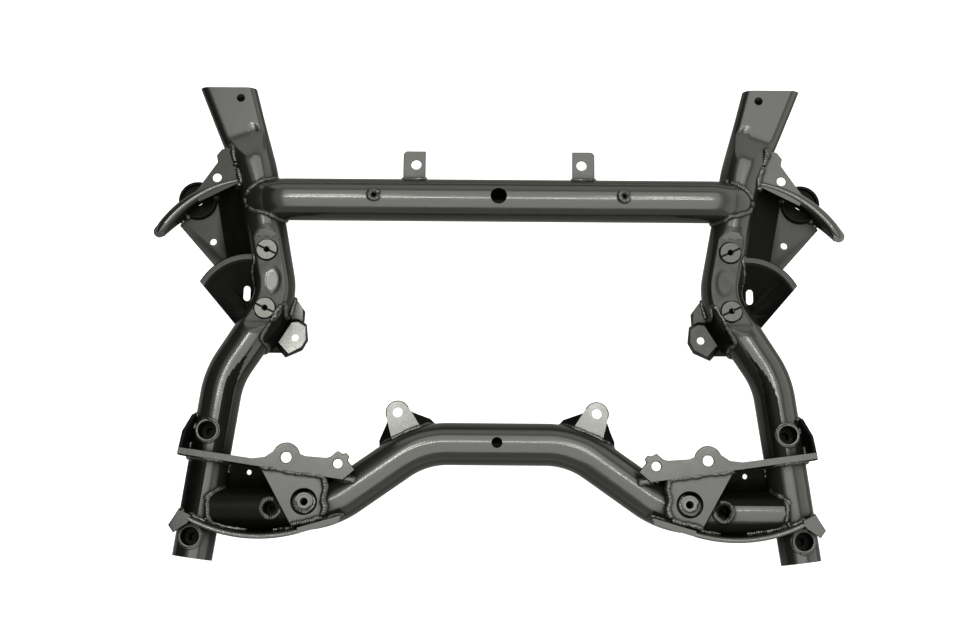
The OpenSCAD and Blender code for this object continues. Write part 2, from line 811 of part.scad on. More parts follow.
module pocket_front_wall() {
    z_top = rail_z + pocket_z;
    z_low = 7;
    len = (wall_out_x - 196) / cos(wall_slope);
    wing_x = rear_rail_x(wall_out_y + 52) + rail_tail_r - 2;
    wing_mid_x = rear_rail_x(wall_out_y + 28) + rail_tail_r + 6;
    drain_d = 7;
    floor_z = 24;
    floor_fall = 25;
    wing_root = rail_tail_r - plate;
    color(paint)
        difference() {
            union() {
                // upright wall, its rear face on the line wall_y
                translate([wall_out_x, wall_out_y, z_low])
                    rotate([0, 0, 180 + wall_slope])
                        translate([0, -plate, plate / 2])
                            cube([len, plate, z_top - z_low - plate]);
                // flange with the two ears
                translate([0, 0, z_top - plate])
                    linear_extrude(plate)
                        polygon([[wall_out_x - step, wall_out_y + step], [wall_out_x - 2, wall_out_y + 8],
                            [365, wall_y(365) + 9], [335, wall_y(335) + 9.5], [318, wall_y(318) + 14],
                            [307, wall_y(307) + 23], [270, wall_y(270) + 26],
                            [262, wall_y(262) + 24], [234, wall_y(234) + 26],
                            [228, wall_y(228) + 28], [218, wall_y(218) + 38], [211, wall_y(211) + 35],
                            [206, wall_y(206) + 37], [202, wall_y(202) + 33], [204, wall_y(204) + 27],
                            [193.5, wall_y(193.5) + 16], [209, wall_y(209) + step]]);
                translate([288.5, wall_y(288.5) + 19.5, z_top - plate + step])
                    cylinder(r = 19, h = plate - 2 * step);
                // floor of the pocket, turned back from the wall and falling to the tube
                translate([wall_out_x, wall_out_y, floor_z])
                    rotate([0, 0, 180 + wall_slope])
                        rotate([-floor_fall, 0, 0])
                            translate([wall_out_x - rear_rail_x(wall_out_y), -plate / 2, 0])
                                cube([len - 70, 40, plate]);
                // wing that leans out from the rail's flank, in two flat steps
                hull() {
                    wing_post(wall_out_x - plate - step, wall_out_y - 2, z_top - plate - step);
                    wing_post(wing_mid_x, wall_out_y + 28, z_top - 10);
                    wing_post(rear_rail_x(wall_out_y) + wing_root, wall_out_y - 2, rail_z - 12);
                    wing_post(rear_rail_x(wall_out_y + 28) + wing_root, wall_out_y + 28, rail_z - 12);
                }
                hull() {
                    wing_post(wing_mid_x, wall_out_y + 28, z_top - 10);
                    wing_post(wing_x, wall_out_y + 52, rail_z + 20);
                    wing_post(rear_rail_x(wall_out_y + 28) + wing_root, wall_out_y + 28, rail_z - 12);
                    wing_post(rear_rail_x(wall_out_y + 52) + wing_root, wall_out_y + 52, rail_z - 8);
                }
            }
            rail_rear_part(weld_gap, 0);
            rear_solid(weld_gap);
            bore(288.5, wall_y(288.5) + 18, pocket_hole_d, 0, 2 * z_top);
            bore(217.5, wall_y(217.5) + 20.5, pocket_small_hole_d, 0, 2 * z_top);
            bore(upper_sleeve_x, upper_sleeve_y, sleeve_d + 2 * over, 0, 2 * z_top);
            bore(345.5, wall_y(345.5) - 8.5, drain_d, 0, rail_z);
        }
}

module pocket_rear_wall() {
    z_top = rail_z + pocket_z;
    z_low = 7;
    out = -62;
    in = -106;
    foot = 16;
    run_len = 62;
    run_low = 16;
    color(paint)
        difference() {
            union() {
                // curved wall, its foot turned forward under the tube's flank
                translate([rear_wall_x, rear_wall_cy, z_low])
                    curved_wall(rear_wall_r, z_top - z_low, rear_rim, foot, rear_wall_lean, in, out);
                // straight run inboard of the curve
                translate([rear_wall_x + rear_wall_r * cos(in), rear_wall_cy + rear_wall_r * sin(in), 0])
                    rotate([0, 0, in - 90]) {
                        translate([0, 0, z_top])
                            rotate([-atan2(rear_wall_lean, z_top - z_low), 0, 0])
                                translate([-over, step, run_low - z_top])
                                    cube([run_len + over, plate - 2 * step, z_top - run_low - plate / 2]);
                        translate([0, 0, z_top - plate + step])
                            linear_extrude(plate - 2 * step)
                                polygon([[-over, step], [run_len + step, step],
                                    [run_len - 6, rear_rim - 2 * step], [-over, rear_rim - 2 * step]]);
                    }
                // outboard end turned back along the rail
                translate([rear_wall_x + rear_wall_r * cos(out), rear_wall_cy + rear_wall_r * sin(out), 0]) {
                    translate([0, 0, z_top - plate + 2 * step])
                        linear_extrude(plate - 4 * step)
                            polygon([[-4, -1], [14, 8], [27, -14], [20, -24], [1, -11]]);
                    translate([14, 8, 14])
                        rotate([0, 0, -58])
                            translate([step, -plate - step, 0])
                                cube([26 - 2 * step, plate, z_top - 14 - plate / 2]);
                }
            }
            rail_rear_part(weld_gap, 0);
            rear_solid(weld_gap);
            bore(lower_sleeve_x, lower_sleeve_y, sleeve_d + 2 * over, 0, rail_z + sleeve_half + over);
        }
}

// Flat triangular plate between the two pocket walls, lying on the rear crossmember
module gusset() {
    face = weld_gap / cos(wall_slope);
    color(paint)
        difference() {
            translate([0, 0, rail_z + gusset_low])
                linear_extrude(sheet)
                    polygon([[325, wall_y(325) - face], [281, rear_wall_y + 11.5], [237, rear_wall_y + 23],
                        [234.5, wall_y(234.5) - face]]);
            bore(gusset_x, gusset_y, gusset_hole_d, 0, 4 * rail_z);
        }
}

// Flanged spacer in the gusset, standing in the rear crossmember's top wall
module gusset_insert() {
    low = rail_z + 4;
    color(bare)
        difference() {
            union() {
                bore(gusset_x, gusset_y, gusset_insert_d, low, rail_z + gusset_low + 1.5);
                bore(gusset_x, gusset_y, gusset_insert_d - 7, low, rail_z + gusset_low + 2.5);
            }
            bore(gusset_x, gusset_y, gusset_insert_bore, 0, 4 * rail_z);
        }
}

// Sleeve closed at its foot, with a stepped blind bore from the top
module blind_sleeve(x, y, d, hole, low, high) {
    deep = 0.5 * (high - low);
    pilot = 0.75 * (high - low);
    color(paint)
        difference() {
            bore(x, y, d, low, high);
            bore(x, y, hole, high - deep, high + over);
            bore(x, y, 0.5 * hole, high - pilot, high);
        }
}

module upper_sleeve() {
    low = rail_z - sleeve_half;
    blind_sleeve(upper_sleeve_x, upper_sleeve_y, sleeve_d, sleeve_bore, low, low + 2 * sleeve_half);
}

module lower_sleeve() {
    low = rail_z - sleeve_half;
    blind_sleeve(lower_sleeve_x, lower_sleeve_y, sleeve_d, sleeve_bore, low, low + 2 * sleeve_half);
}

module cross_sleeve() {
    blind_sleeve(cross_sleeve_x, rear_run_y, cross_sleeve_d, cross_sleeve_bore, rear_z - rear_r + 1,
        rear_z + rear_r + 1);
}

module boss(y) {
    top = rail_z + form_h + boss_h;
    color(bare)
        difference() {
            bore(boss_x, y, boss_d, rail_z + form_h, top);
            bore(boss_x, y, boss_bore, rail_z, top + over);
            translate([boss_x, y, top - slot_depth])
                rotate([0, 0, 25])
                    translate([-boss_d, -slot_w / 2, 0])
                        cube([2 * boss_d, slot_w, slot_depth + over]);
        }
}

module front_tab() {
    low = cross_z + 2;
    color(paint)
        difference() {
            translate([tab_x - tab_w * 0.42, cross_y, low])
                linear_extrude(sheet)
                    polygon([[0, 0], [tab_w, 0], [tab_w, tab_reach + 16], [tab_w - 4, tab_reach + 20],
                        [0, tab_reach + 20]]);
            cross_solid(weld_gap);
            translate([0, cross_y - cross_d, 0])
                cube([2 * insert_x, cross_d, 3 * cross_z]);
            bore(tab_x, cross_y + tab_reach, tab_hole_d, 0, 3 * cross_z);
        }
}

// Pressed ear in front of the rear crossmember: rounded face with a wing folded down on each side
module rear_ear() {
    hole_y = rear_bend_r + rear_r + ear_reach;
    base_y = rear_bend_r + 10;
    half = 24;
    peak = 17;
    wing = 33;
    reach = hole_y - base_y;
    run = reach - 6;
    lean = atan2(half - peak, run);
    wing_outline = [[0, 0], [0.55 * run, 0.2 * wing], [run, wing], [0, wing]];
    color(paint)
        difference() {
            translate([ear_centre[0], ear_centre[1], rail_z + ear_z])
                rotate([0, 0, -ear_turn])
                    translate([0, base_y, 0])
                        rotate([-ear_tilt, 0, 0]) {
                            linear_extrude(sheet)
                                polygon([[-half, 0], [half, 0], [peak, reach], [-peak, reach]]);
                            translate([0, reach, 0])
                                cylinder(r = peak, h = sheet);
                            for (s = [0, 1])
                                mirror([s, 0, 0])
                                    translate([half, 0, sheet / 2])
                                        rotate([0, 0, 90 + lean])
                                            rotate([48, 0, 0])
                                                translate([0, -wing, -sheet / 2])
                                                    linear_extrude(sheet)
                                                        polygon(wing_outline);
                        }
            rear_solid(weld_gap);
            translate([ear_centre[0], ear_centre[1], 0])
                cylinder(r = rear_bend_r + 1, h = 3 * rail_z);
            translate([ear_centre[0], ear_centre[1], 0])
                rotate([0, 0, -ear_turn])
                    bore(0, hole_y, ear_hole_d, 0, 3 * rail_z);
        }
}

module thread_insert() {
    top = cross_z + cross_r;
    color(bare)
        difference() {
            union() {
                bore(insert_x, cross_y, insert_flange_d, top + weld_gap, top + 1.4);
                bore(insert_x, cross_y, insert_body_d, top - insert_len, top + 1);
            }
            bore(insert_x, cross_y, insert_bore, 0, 3 * cross_z);
        }
}

module front_crossmember() { centred() front_tube(); }
module rear_crossmember() { centred() rear_tube(); }
module left_side_rail() { on_left() side_rail(); }
module right_side_rail() { centred() side_rail(); }
module left_arm_bracket() { on_left() arm_bracket(); }
module right_arm_bracket() { centred() arm_bracket(); }
module left_arm_base_plate() { on_left() arm_base_plate(); }
module right_arm_base_plate() { centred() arm_base_plate(); }
module left_arm_seat() { on_left() arm_seat(); }
module right_arm_seat() { centred() arm_seat(); }
module left_arm_cup() { on_left() arm_cup(); }
module right_arm_cup() { centred() arm_cup(); }
module left_engine_mount() { on_left() engine_mount(); }
module right_engine_mount() { centred() engine_mount(); }
module left_pocket_front_wall() { on_left() pocket_front_wall(); }
module right_pocket_front_wall() { centred() pocket_front_wall(); }
module left_pocket_rear_wall() { on_left() pocket_rear_wall(); }
module right_pocket_rear_wall() { centred() pocket_rear_wall(); }
module left_gusset() { on_left() gusset(); }
module right_gusset() { centred() gusset(); }
module left_gusset_insert() { on_left() gusset_insert(); }
module right_gusset_insert() { centred() gusset_insert(); }
module left_upper_sleeve() { on_left() upper_sleeve(); }
module right_upper_sleeve() { centred() upper_sleeve(); }
module left_lower_sleeve() { on_left() lower_sleeve(); }
module right_lower_sleeve() { centred() lower_sleeve(); }
module left_cross_sleeve() { on_left() cross_sleeve(); }
module right_cross_sleeve() { centred() cross_sleeve(); }
module left_front_boss() { on_left() boss(boss_front_y); }
module right_front_boss() { centred() boss(boss_front_y); }
module left_rear_boss() { on_left() boss(boss_rear_y); }
module right_rear_boss() { centred() boss(boss_rear_y); }
module left_front_tab() { on_left() front_tab(); }
module right_front_tab() { centred() front_tab(); }
module left_rear_ear() { on_left() rear_ear(); }
module right_rear_ear() { centred() rear_ear(); }
module left_thread_insert() { on_left() thread_insert(); }
module right_thread_insert() { centred() thread_insert(); }

left_side_rail();
right_side_rail();
front_crossmember();
rear_crossmember();
left_arm_bracket();
right_arm_bracket();
left_arm_base_plate();
right_arm_base_plate();
left_arm_seat();
right_arm_seat();
left_arm_cup();
right_arm_cup();
left_engine_mount();
right_engine_mount();
left_pocket_front_wall();
right_pocket_front_wall();
left_pocket_rear_wall();
right_pocket_rear_wall();
left_gusset();
right_gusset();
left_gusset_insert();
right_gusset_insert();
left_upper_sleeve();
right_upper_sleeve();
left_lower_sleeve();
right_lower_sleeve();
left_cross_sleeve();
right_cross_sleeve();
left_front_boss();
right_front_boss();
left_rear_boss();
right_rear_boss();
left_front_tab();
right_front_tab();
left_rear_ear();
right_rear_ear();
left_thread_insert();
right_thread_insert();
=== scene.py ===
import math

import bmesh
import bpy
from mathutils import Matrix, Vector, noise
from mathutils.bvhtree import BVHTree


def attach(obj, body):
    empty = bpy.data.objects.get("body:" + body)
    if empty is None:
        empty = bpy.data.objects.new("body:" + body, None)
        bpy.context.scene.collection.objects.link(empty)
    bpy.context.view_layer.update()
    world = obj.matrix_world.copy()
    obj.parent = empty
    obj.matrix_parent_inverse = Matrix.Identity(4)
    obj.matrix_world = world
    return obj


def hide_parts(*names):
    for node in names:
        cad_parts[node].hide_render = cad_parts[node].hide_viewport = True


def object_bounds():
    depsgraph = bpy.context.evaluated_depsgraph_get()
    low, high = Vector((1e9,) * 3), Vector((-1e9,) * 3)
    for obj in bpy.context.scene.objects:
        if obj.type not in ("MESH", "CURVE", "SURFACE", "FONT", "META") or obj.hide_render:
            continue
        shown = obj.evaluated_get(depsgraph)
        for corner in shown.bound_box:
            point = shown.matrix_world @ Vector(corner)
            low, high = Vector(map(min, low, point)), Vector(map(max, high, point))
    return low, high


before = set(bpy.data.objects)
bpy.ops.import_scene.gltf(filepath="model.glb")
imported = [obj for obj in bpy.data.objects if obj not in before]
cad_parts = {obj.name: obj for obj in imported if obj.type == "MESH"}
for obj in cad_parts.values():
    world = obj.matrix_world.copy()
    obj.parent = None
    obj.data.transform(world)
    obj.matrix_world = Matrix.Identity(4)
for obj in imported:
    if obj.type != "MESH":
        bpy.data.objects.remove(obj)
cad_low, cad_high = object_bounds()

# Welded front subframe, painted black: bent side rails, two crossmembers and the brackets welded to them.
# Lengths of the part are millimetres, turned into metres where a mesh is made. +Y is the front of the part.
MM = 0.001
ROOT = "root"
SIDES = {"right": 1, "left": -1}

# Side rail, drawn on the right: corners of its axis from front to rear, and the radius of each bend
RAIL_CORNERS = [(394, 354), (348, 226), (313, 45), (385, -68), (419, -320)]
RAIL_BENDS = [200, 75, 120]
RAIL_Z = 29.15
RAIL_R = 29
KNEE_R = 28.5
TAIL_R = 27.5
RAIL_WALL = 3
# Flattened front end: half its width and height at the end, the length of its taper, and where it turns round
FLAT_HALF_W = 38.5
FLAT_HALF_H = 13
FLAT_TAPER = 150
FLAT_UNTIL = 70
ROUND_FROM = 122
END_SHEAR = 60
END_HOLE_R = 6
END_HOLE = (374.3, 337.7)
# Dimple inboard on the flattened end: its middle across and along the axis, half sizes, rim and depth
DENT_AT = (-17, 74)
DENT_HALF = (9, 12)
DENT_RIM = (0.2, 1.0)
DENT_DEPTH = 1.6
# Pressed flat on the waist: height over the axis, its rear and front ends, and the length of its run-outs
FORM_H = 23
FORM_REAR = -10
FORM_FRONT = 148
FORM_RUN = 18
FORM_RISE = 9
FORM_EDGE = 1.2
# Shallow oval dish between the bosses: its middle, half sizes, rim and depth
DISH_AT = (318, 67)
DISH_HALF = (12, 20)
DISH_RIM = (0.7, 1.1)
DISH_DEPTH = 1.1
# Front crossmember
CROSS_R = 30
CROSS_Y = 186
CROSS_RISE = 16
CROSS_BEND = math.radians(42)
CROSS_END_X = 340.3
CROSS_BALL_R = 32
CROSS_BALL_AT = 0.78
CROSS_HOLE_R = 11.5
INSERT_X = 176
INSERT_HOLE_R = 5.7
# Rear crossmember
REAR_R = 29.5
REAR_Z = 30.15
REAR_CORNERS = [(-395, -252), (-237, -252), (-106, -160), (106, -160), (237, -252), (395, -252)]
REAR_BENDS = [120, 120, 120, 120]
REAR_HOLE_R = 7.5
# Round things let into the tubes on each side: place and hole radius
SLEEVES = [(400.5, -146, 16.2), (418.1, -291, 16.2)]
BOSSES = [(327, 110.5, 4.5), (327, 26.5, 4.5)]
CROSS_SLEEVE = (309.5, -252, 12.2)
GUSSET_INSERT = (263, -243, 12.7)
HIGH = 120
# Rolled rim of the arm bracket: middle and radius of its arc, angles and thickness at its tip and root
RIM_AT = (338, 53)
RIM_R = 167.5
RIM_DRIFT = 3.5
RIM_ANGLES = (math.radians(29.5), math.radians(78))
RIM_THICK = (6.2, 2.8)
RIM_TIP = 0.05
RIM_TIP_GROWTH = 8
RIM_FLATTEN = 0.62
RIM_LIFT = 17.6
# Shoulder of the engine mount: where its top starts to fall, the way it falls, how steeply and how far
SHOULDER_AT = (314, 10)
SHOULDER_AWAY = (-0.887, -0.46)
SHOULDER_H = 12
SHOULDER_LEAD = 2
SHOULDER_FALL = 1.6
SHOULDER_DROP = 9.0
# The frame's own origin lies in the middle of the part's length
SHIFT_Y = RAIL_CORNERS[0][1] - cad_high.y / MM

# Mesh density
RAIL_PITCH = 2.4
RAIL_INNER_PITCH = 4 * RAIL_PITCH
RAIL_SIDES = 112
CROSS_PITCH = 4
CROSS_BEND_FINER = 3
CROSS_SIDES = 112
RIM_STEPS = 70
RIM_SIDES = 16
HOLE_SIDES = 48
JOIN = 1e-6
SHARP = math.radians(28)
COPLANAR = math.radians(0.6)
THIN_STEP = 0.7

# Painted shade in black bands along the rails behind the knee: where they start, are full and end, and how
# far off the axis they reach inboard and outboard, at the start and where they are full
BAND_START = -30
BAND_FULL = {"right": -110, "left": -80}
BAND_END = {"right": -185, "left": -178}
BAND_IN = {"right": (-13, -18), "left": (-15, -21)}
BAND_OUT = {"right": (-11, -1), "left": (-14, -8)}
# On the left the outboard half is painted black as shade too, narrower towards the knee, and so is a patch
# between the sleeves
LEFT_HALF_OFF = 6
LEFT_HALF_LEAN = 0.9
LEFT_HALF_FROM = -152
LEFT_PATCH = (-264, -188)
LEFT_PATCH_OFF = -3
# Ends of the rear crossmember inside the pockets, which get painted shade
POCKET_X = 281
POCKET_Y = -244
# The pressed flat of the rails, which gets painted shade as a dimmer reflection: least height over the axis
# and least upward slant
FLAT_LOW = 20
FLAT_SLANT = 0.93


def row_point(x, y, z):
    """A point given in the drawing's millimetres, as metres in the frame."""
    return Vector((x, y - SHIFT_Y, z)) * MM


def smooth_step(low, high, value):
    t = min(1.0, max(0.0, (value - low) / (high - low)))
    return t * t * (3 - 2 * t)


def smooth_min(a, b, k):
    h = max(k - abs(a - b), 0.0) / k
    return min(a, b) - h * h * k / 4


def between(limits, t):
    """The value a fraction of the way from the first limit to the second."""
    return limits[0] + (limits[1] - limits[0]) * t


def path_stations(corners, radii, pitch):
    """Places along straights joined by arcs, and the distances at which the arcs start and end.

    Each place is (point, heading, distance).
    """
    stations = []
    marks = []
    start = Vector(corners[0])
    done = 0.0
    for i in range(1, len(corners)):
        corner = Vector(corners[i])
        along = (corner - start).normalized()
        heading = math.atan2(along.y, along.x)
        turn = 0.0
        cut = 0.0
        if i < len(corners) - 1:
            after = (Vector(corners[i + 1]) - corner).normalized()
            turn = math.atan2(along.x * after.y - along.y * after.x, along.dot(after))
            cut = radii[i - 1] * math.tan(abs(turn) / 2)
        length = (corner - start).length - cut
        count = max(1, round(length / pitch))
        for k in range(count):
            stations.append((start + along * length * k / count, heading, done + length * k / count))
        done += length
        if turn:
            radius = radii[i - 1]
            side = math.copysign(1, turn)
            centre = start + along * length + side * radius * Vector((-along.y, along.x))
            count = max(2, round(radius * abs(turn) / pitch))
            for k in range(count):
                angle = heading + turn * k / count
                point = centre - side * radius * Vector((-math.sin(angle), math.cos(angle)))
                stations.append((point, angle, done + radius * abs(turn) * k / count))
            marks.append(done)
            done += radius * abs(turn)
            marks.append(done)
            start = corner + after * cut
    stations.append((Vector(corners[-1]), heading, done))
    return stations, marks


def stadium(count, reach, radius):
    """Evenly spaced points (sideways, height) on an outline of two round sides and two straight webs."""
    web = 2 * reach
    arc = math.pi * radius
    points = []
    for k in range(count):
        d = (2 * web + 2 * arc) * k / count
        if d < arc / 2 or d >= 2 * web + 1.5 * arc:
            angle = (d if d < arc / 2 else d - 2 * web - 2 * arc) / radius
            points.append((reach + radius * math.cos(angle), radius * math.sin(angle)))
        elif d < arc / 2 + web:
            points.append((reach - (d - arc / 2), radius))
        elif d < 1.5 * arc + web:
            angle = math.pi / 2 + (d - arc / 2 - web) / radius
            points.append((-reach + radius * math.cos(angle), radius * math.sin(angle)))
        else:
            points.append((-reach + (d - 1.5 * arc - web), -radius))
    return points


def mesh_object(name, bm, material):
    """Object made of a finished bmesh, riding on the part, with its material."""
    bmesh.ops.recalc_face_normals(bm, faces=bm.faces)
    mesh = bpy.data.meshes.new(name)
    bm.to_mesh(mesh)
    bm.free()
    mesh.shade_smooth()
    mesh.set_sharp_from_angle(angle=SHARP)
    mesh.materials.append(material)
    piece = bpy.data.objects.new(name, mesh)
    bpy.context.scene.collection.objects.link(piece)
    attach(piece, ROOT)
    return piece


def join_rings(bm, a, b):
    """One row of faces between two rings of equal count."""
    count = len(a)
    for k in range(count):
        bm.faces.new((a[k], a[(k + 1) % count], b[(k + 1) % count], b[k]))


def add_rings(bm, rings):
    """Skin over rings of equal count; returns the rings' vertices."""
    made = [[bm.verts.new(p) for p in ring] for ring in rings]
    for a, b in zip(made, made[1:]):
        join_rings(bm, a, b)
    return made


def add_rod(bm, rings):
    """Skin over rings, closed at both ends."""
    made = add_rings(bm, rings)
    bm.faces.new(made[0])
    bm.faces.new(made[-1])


def tube_object(name, outer_rings, inner_rings):
    """Painted tube with an outer skin, an inner skin and open ends."""
    bm = bmesh.new()
    outer = add_rings(bm, outer_rings)
    inner = add_rings(bm, inner_rings)
    join_rings(bm, outer[0], inner[0])
    join_rings(bm, outer[-1], inner[-1])
    return mesh_object(name, bm, PAINT)


def drilled(piece, holes):
    """Cuts upright round holes, each (x, y, radius, low, high) in the drawing, into a piece."""
    bm = bmesh.new()
    for x, y, radius, low, high in holes:
        middle = Matrix.Translation(row_point(x, y, (low + high) / 2))
        bmesh.ops.create_cone(bm, cap_ends=True, segments=HOLE_SIDES, radius1=radius * MM,
                              radius2=radius * MM, depth=(high - low) * MM, matrix=middle)
    mesh = bpy.data.meshes.new("cutter")
    bm.to_mesh(mesh)
    bm.free()
    cutter = bpy.data.objects.new("cutter", mesh)
    bpy.context.scene.collection.objects.link(cutter)
    cut = piece.modifiers.new("cut", "BOOLEAN")
    cut.object = cutter
    cut.operation = "DIFFERENCE"
    cut.solver = "EXACT"
    bpy.context.view_layer.update()
    seen = piece.evaluated_get(bpy.context.evaluated_depsgraph_get())
    done = bpy.data.meshes.new_from_object(seen)
    piece.modifiers.clear()
    old = piece.data
    piece.data = done
    bpy.data.meshes.remove(old)
    bpy.data.objects.remove(cutter)
    bpy.data.meshes.remove(mesh)
    piece.data.shade_smooth()
    piece.data.set_sharp_from_angle(angle=SHARP)


def coat(piece, material, inside):
    """Gives another paint to the faces whose middle (x, y, z) and upward slant lie inside."""
    piece.data.materials.append(material)
    number = len(piece.data.materials) - 1
    for face in piece.data.polygons:
        x, y, z = face.center / MM
        if inside(x, y + SHIFT_Y, z, face.normal.z):
            face.material_index = number


# Materials
NOISE_RANGE = (0.3, 0.7)
AO_SAMPLES = 6
PAINT_IOR = 1.53
PAINT_BLUE = 0.9
STEEL_BLUE = 0.94
PAINTED_SEAM_SHADE = (0.002, 0.002, 0.002)
# Mirror strength of the gloss paint in recesses, dimmed there as painted shade, and what the open adds to it
RECESS_SHINE = 0.03
OPEN_SHINE = 0.47


def node_material(name):
    material = bpy.data.materials.new(name)
    material.use_nodes = True
    return material, material.node_tree.nodes, material.node_tree.links


def math_node(nodes, links, operation, *values):
    """Output of a sum over plain numbers and the outputs of other nodes."""
    made = nodes.new("ShaderNodeMath")
    made.operation = operation
    for socket, value in zip(made.inputs, values):
        if isinstance(value, float):
            socket.default_value = value
        else:
            links.new(value, socket)
    return made.outputs[0]


def noise_node(nodes, links, coords, size, detail=3.0, rough=0.5):
    """Noise with features of about the given size in millimetres."""
    made = nodes.new("ShaderNodeTexNoise")
    made.inputs["Scale"].default_value = 1 / (size * MM)
    made.inputs["Detail"].default_value = detail
    made.inputs["Roughness"].default_value = rough
    links.new(coords.outputs["Object"], made.inputs["Vector"])
    return made.outputs["Fac"]


def ramp_node(nodes, links, source, low, high):
    """Maps a noise onto the range low to high."""
    made = nodes.new("ShaderNodeMapRange")
    made.inputs["From Min"].default_value = NOISE_RANGE[0]
    made.inputs["From Max"].default_value = NOISE_RANGE[1]
    made.inputs["To Min"].default_value = low
    made.inputs["To Max"].default_value = high
    links.new(source, made.inputs["Value"])
    return made.outputs["Result"]


def bump_node(nodes, links, height, distance, strength, under=None):
    """Relief of a distance in millimetres, on top of another relief where one is given."""
    made = nodes.new("ShaderNodeBump")
    made.inputs["Distance"].default_value = distance * MM
    made.inputs["Strength"].default_value = strength
    links.new(height, made.inputs["Height"])
    if under:
        links.new(under, made.inputs["Normal"])
    return made.outputs["Normal"]


def mixed_colour(nodes, links, factor, dark, light):
    """Colour between two others, each an (r, g, b) or the output of another node."""
    made = nodes.new("ShaderNodeMix")
    made.data_type = "RGBA"
    for socket, colour in (("A", dark), ("B", light)):
        if isinstance(colour, tuple):
            made.inputs[socket].default_value = (*colour, 1)
        else:
            links.new(colour, made.inputs[socket])
    links.new(factor, made.inputs["Factor"])
    return made.outputs["Result"]


def openness(nodes, links, reach, low, high):
    """Mask of painted shade: 0 in recesses and 1 in the open, seen over a reach in millimetres."""
    around = nodes.new("ShaderNodeAmbientOcclusion")
    around.samples = AO_SAMPLES
    around.inputs["Distance"].default_value = reach * MM
    made = nodes.new("ShaderNodeMapRange")
    made.interpolation_type = "SMOOTHSTEP"
    made.inputs["From Min"].default_value = low
    made.inputs["From Max"].default_value = high
    links.new(around.outputs["AO"], made.inputs["Value"])
    return made.outputs["Result"]


def warm_grey(level, blue):
    """Grey with a share of its blue."""
    return level, level, blue * level


def black_paint():
    """Dipped black paint: mottling, orange peel, uneven gloss, and painted shade that dims its recesses."""
    material, nodes, links = node_material("black_paint")
    shader = nodes["Principled BSDF"]
    coords = nodes.new("ShaderNodeTexCoord")
    cloud = noise_node(nodes, links, coords, size=45)
    grain = noise_node(nodes, links, coords, size=2.2, detail=2.0)
    wave = noise_node(nodes, links, coords, size=22, detail=2.0)
    colour = mixed_colour(nodes, links, cloud, dark=(0.0052, 0.0052, 0.0046), light=(0.0085, 0.0085, 0.0075))
    links.new(colour, shader.inputs["Base Color"])
    links.new(ramp_node(nodes, links, cloud, low=0.14, high=0.21), shader.inputs["Roughness"])
    swell = bump_node(nodes, links, wave, distance=0.5, strength=0.25)
    peel = bump_node(nodes, links, grain, distance=0.08, strength=0.5, under=swell)
    links.new(peel, shader.inputs["Normal"])
    # Painted shade: the paint reflects less in pockets and seams, found by ambient occlusion
    pocket = openness(nodes, links, reach=75, low=0.58, high=0.88)
    seam = openness(nodes, links, reach=6, low=0.55, high=0.9)
    free = math_node(nodes, links, "MULTIPLY", pocket, seam)
    shine = math_node(nodes, links, "MULTIPLY_ADD", free, OPEN_SHINE, RECESS_SHINE)
    links.new(shine, shader.inputs["Specular IOR Level"])
    shader.inputs["IOR"].default_value = PAINT_IOR
    return material


def matt_paint(name, dark, light, shine):
    """Paint with little gloss, laid as painted shade where parts are to look black or darker."""
    material, nodes, links = node_material(name)
    shader = nodes["Principled BSDF"]
    coords = nodes.new("ShaderNodeTexCoord")
    cloud = noise_node(nodes, links, coords, size=14)
    grain = noise_node(nodes, links, coords, size=1.8, detail=2.0)
    colour = mixed_colour(nodes, links, cloud, warm_grey(dark, PAINT_BLUE), warm_grey(light, PAINT_BLUE))
    links.new(colour, shader.inputs["Base Color"])
    links.new(ramp_node(nodes, links, cloud, low=0.3, high=0.42), shader.inputs["Roughness"])
    peel = bump_node(nodes, links, grain, distance=0.12, strength=0.6)
    links.new(peel, shader.inputs["Normal"])
    shader.inputs["Specular IOR Level"].default_value = shine
    return material


def weld_paint():
    """The same paint over weld metal: rougher and pitted."""
    material, nodes, links = node_material("weld_paint")
    shader = nodes["Principled BSDF"]
    coords = nodes.new("ShaderNodeTexCoord")
    spots = noise_node(nodes, links, coords, size=5)
    pits = noise_node(nodes, links, coords, size=1.3, rough=0.6)
    colour = mixed_colour(nodes, links, spots, dark=(0.003, 0.003, 0.0027), light=(0.018, 0.018, 0.016))
    links.new(colour, shader.inputs["Base Color"])
    links.new(ramp_node(nodes, links, spots, low=0.16, high=0.34), shader.inputs["Roughness"])
    pitting = bump_node(nodes, links, pits, distance=0.25, strength=0.6)
    links.new(pitting, shader.inputs["Normal"])
    shader.inputs["IOR"].default_value = PAINT_IOR
    return material


def bare_steel(name, dark, light):
    """Blasted grey steel, thinly coated, mottled between two greys, with painted shade that turns it black in
    its seams.
    """
    material, nodes, links = node_material(name)
    shader = nodes["Principled BSDF"]
    coords = nodes.new("ShaderNodeTexCoord")
    patch = noise_node(nodes, links, coords, size=6)
    grit = noise_node(nodes, links, coords, size=0.8, detail=2.0, rough=0.7)
    steel = mixed_colour(nodes, links, patch, warm_grey(dark, STEEL_BLUE), warm_grey(light, STEEL_BLUE))
    # Painted shade: the steel turns black in its seams, found by ambient occlusion
    seam = openness(nodes, links, reach=5, low=0.6, high=0.95)
    links.new(mixed_colour(nodes, links, seam, PAINTED_SEAM_SHADE, steel), shader.inputs["Base Color"])
    links.new(ramp_node(nodes, links, grit, low=0.38, high=0.55), shader.inputs["Roughness"])
    tooth = bump_node(nodes, links, grit, distance=0.2, strength=0.6)
    links.new(tooth, shader.inputs["Normal"])
    return material


PAINT = black_paint()
WELD = weld_paint()
# Painted shade: near-black paint that hardly reflects, laid where parts are to look black
PAINTED_SHADE = matt_paint("painted_shade_paint", dark=0.0015, light=0.003, shine=0.04)
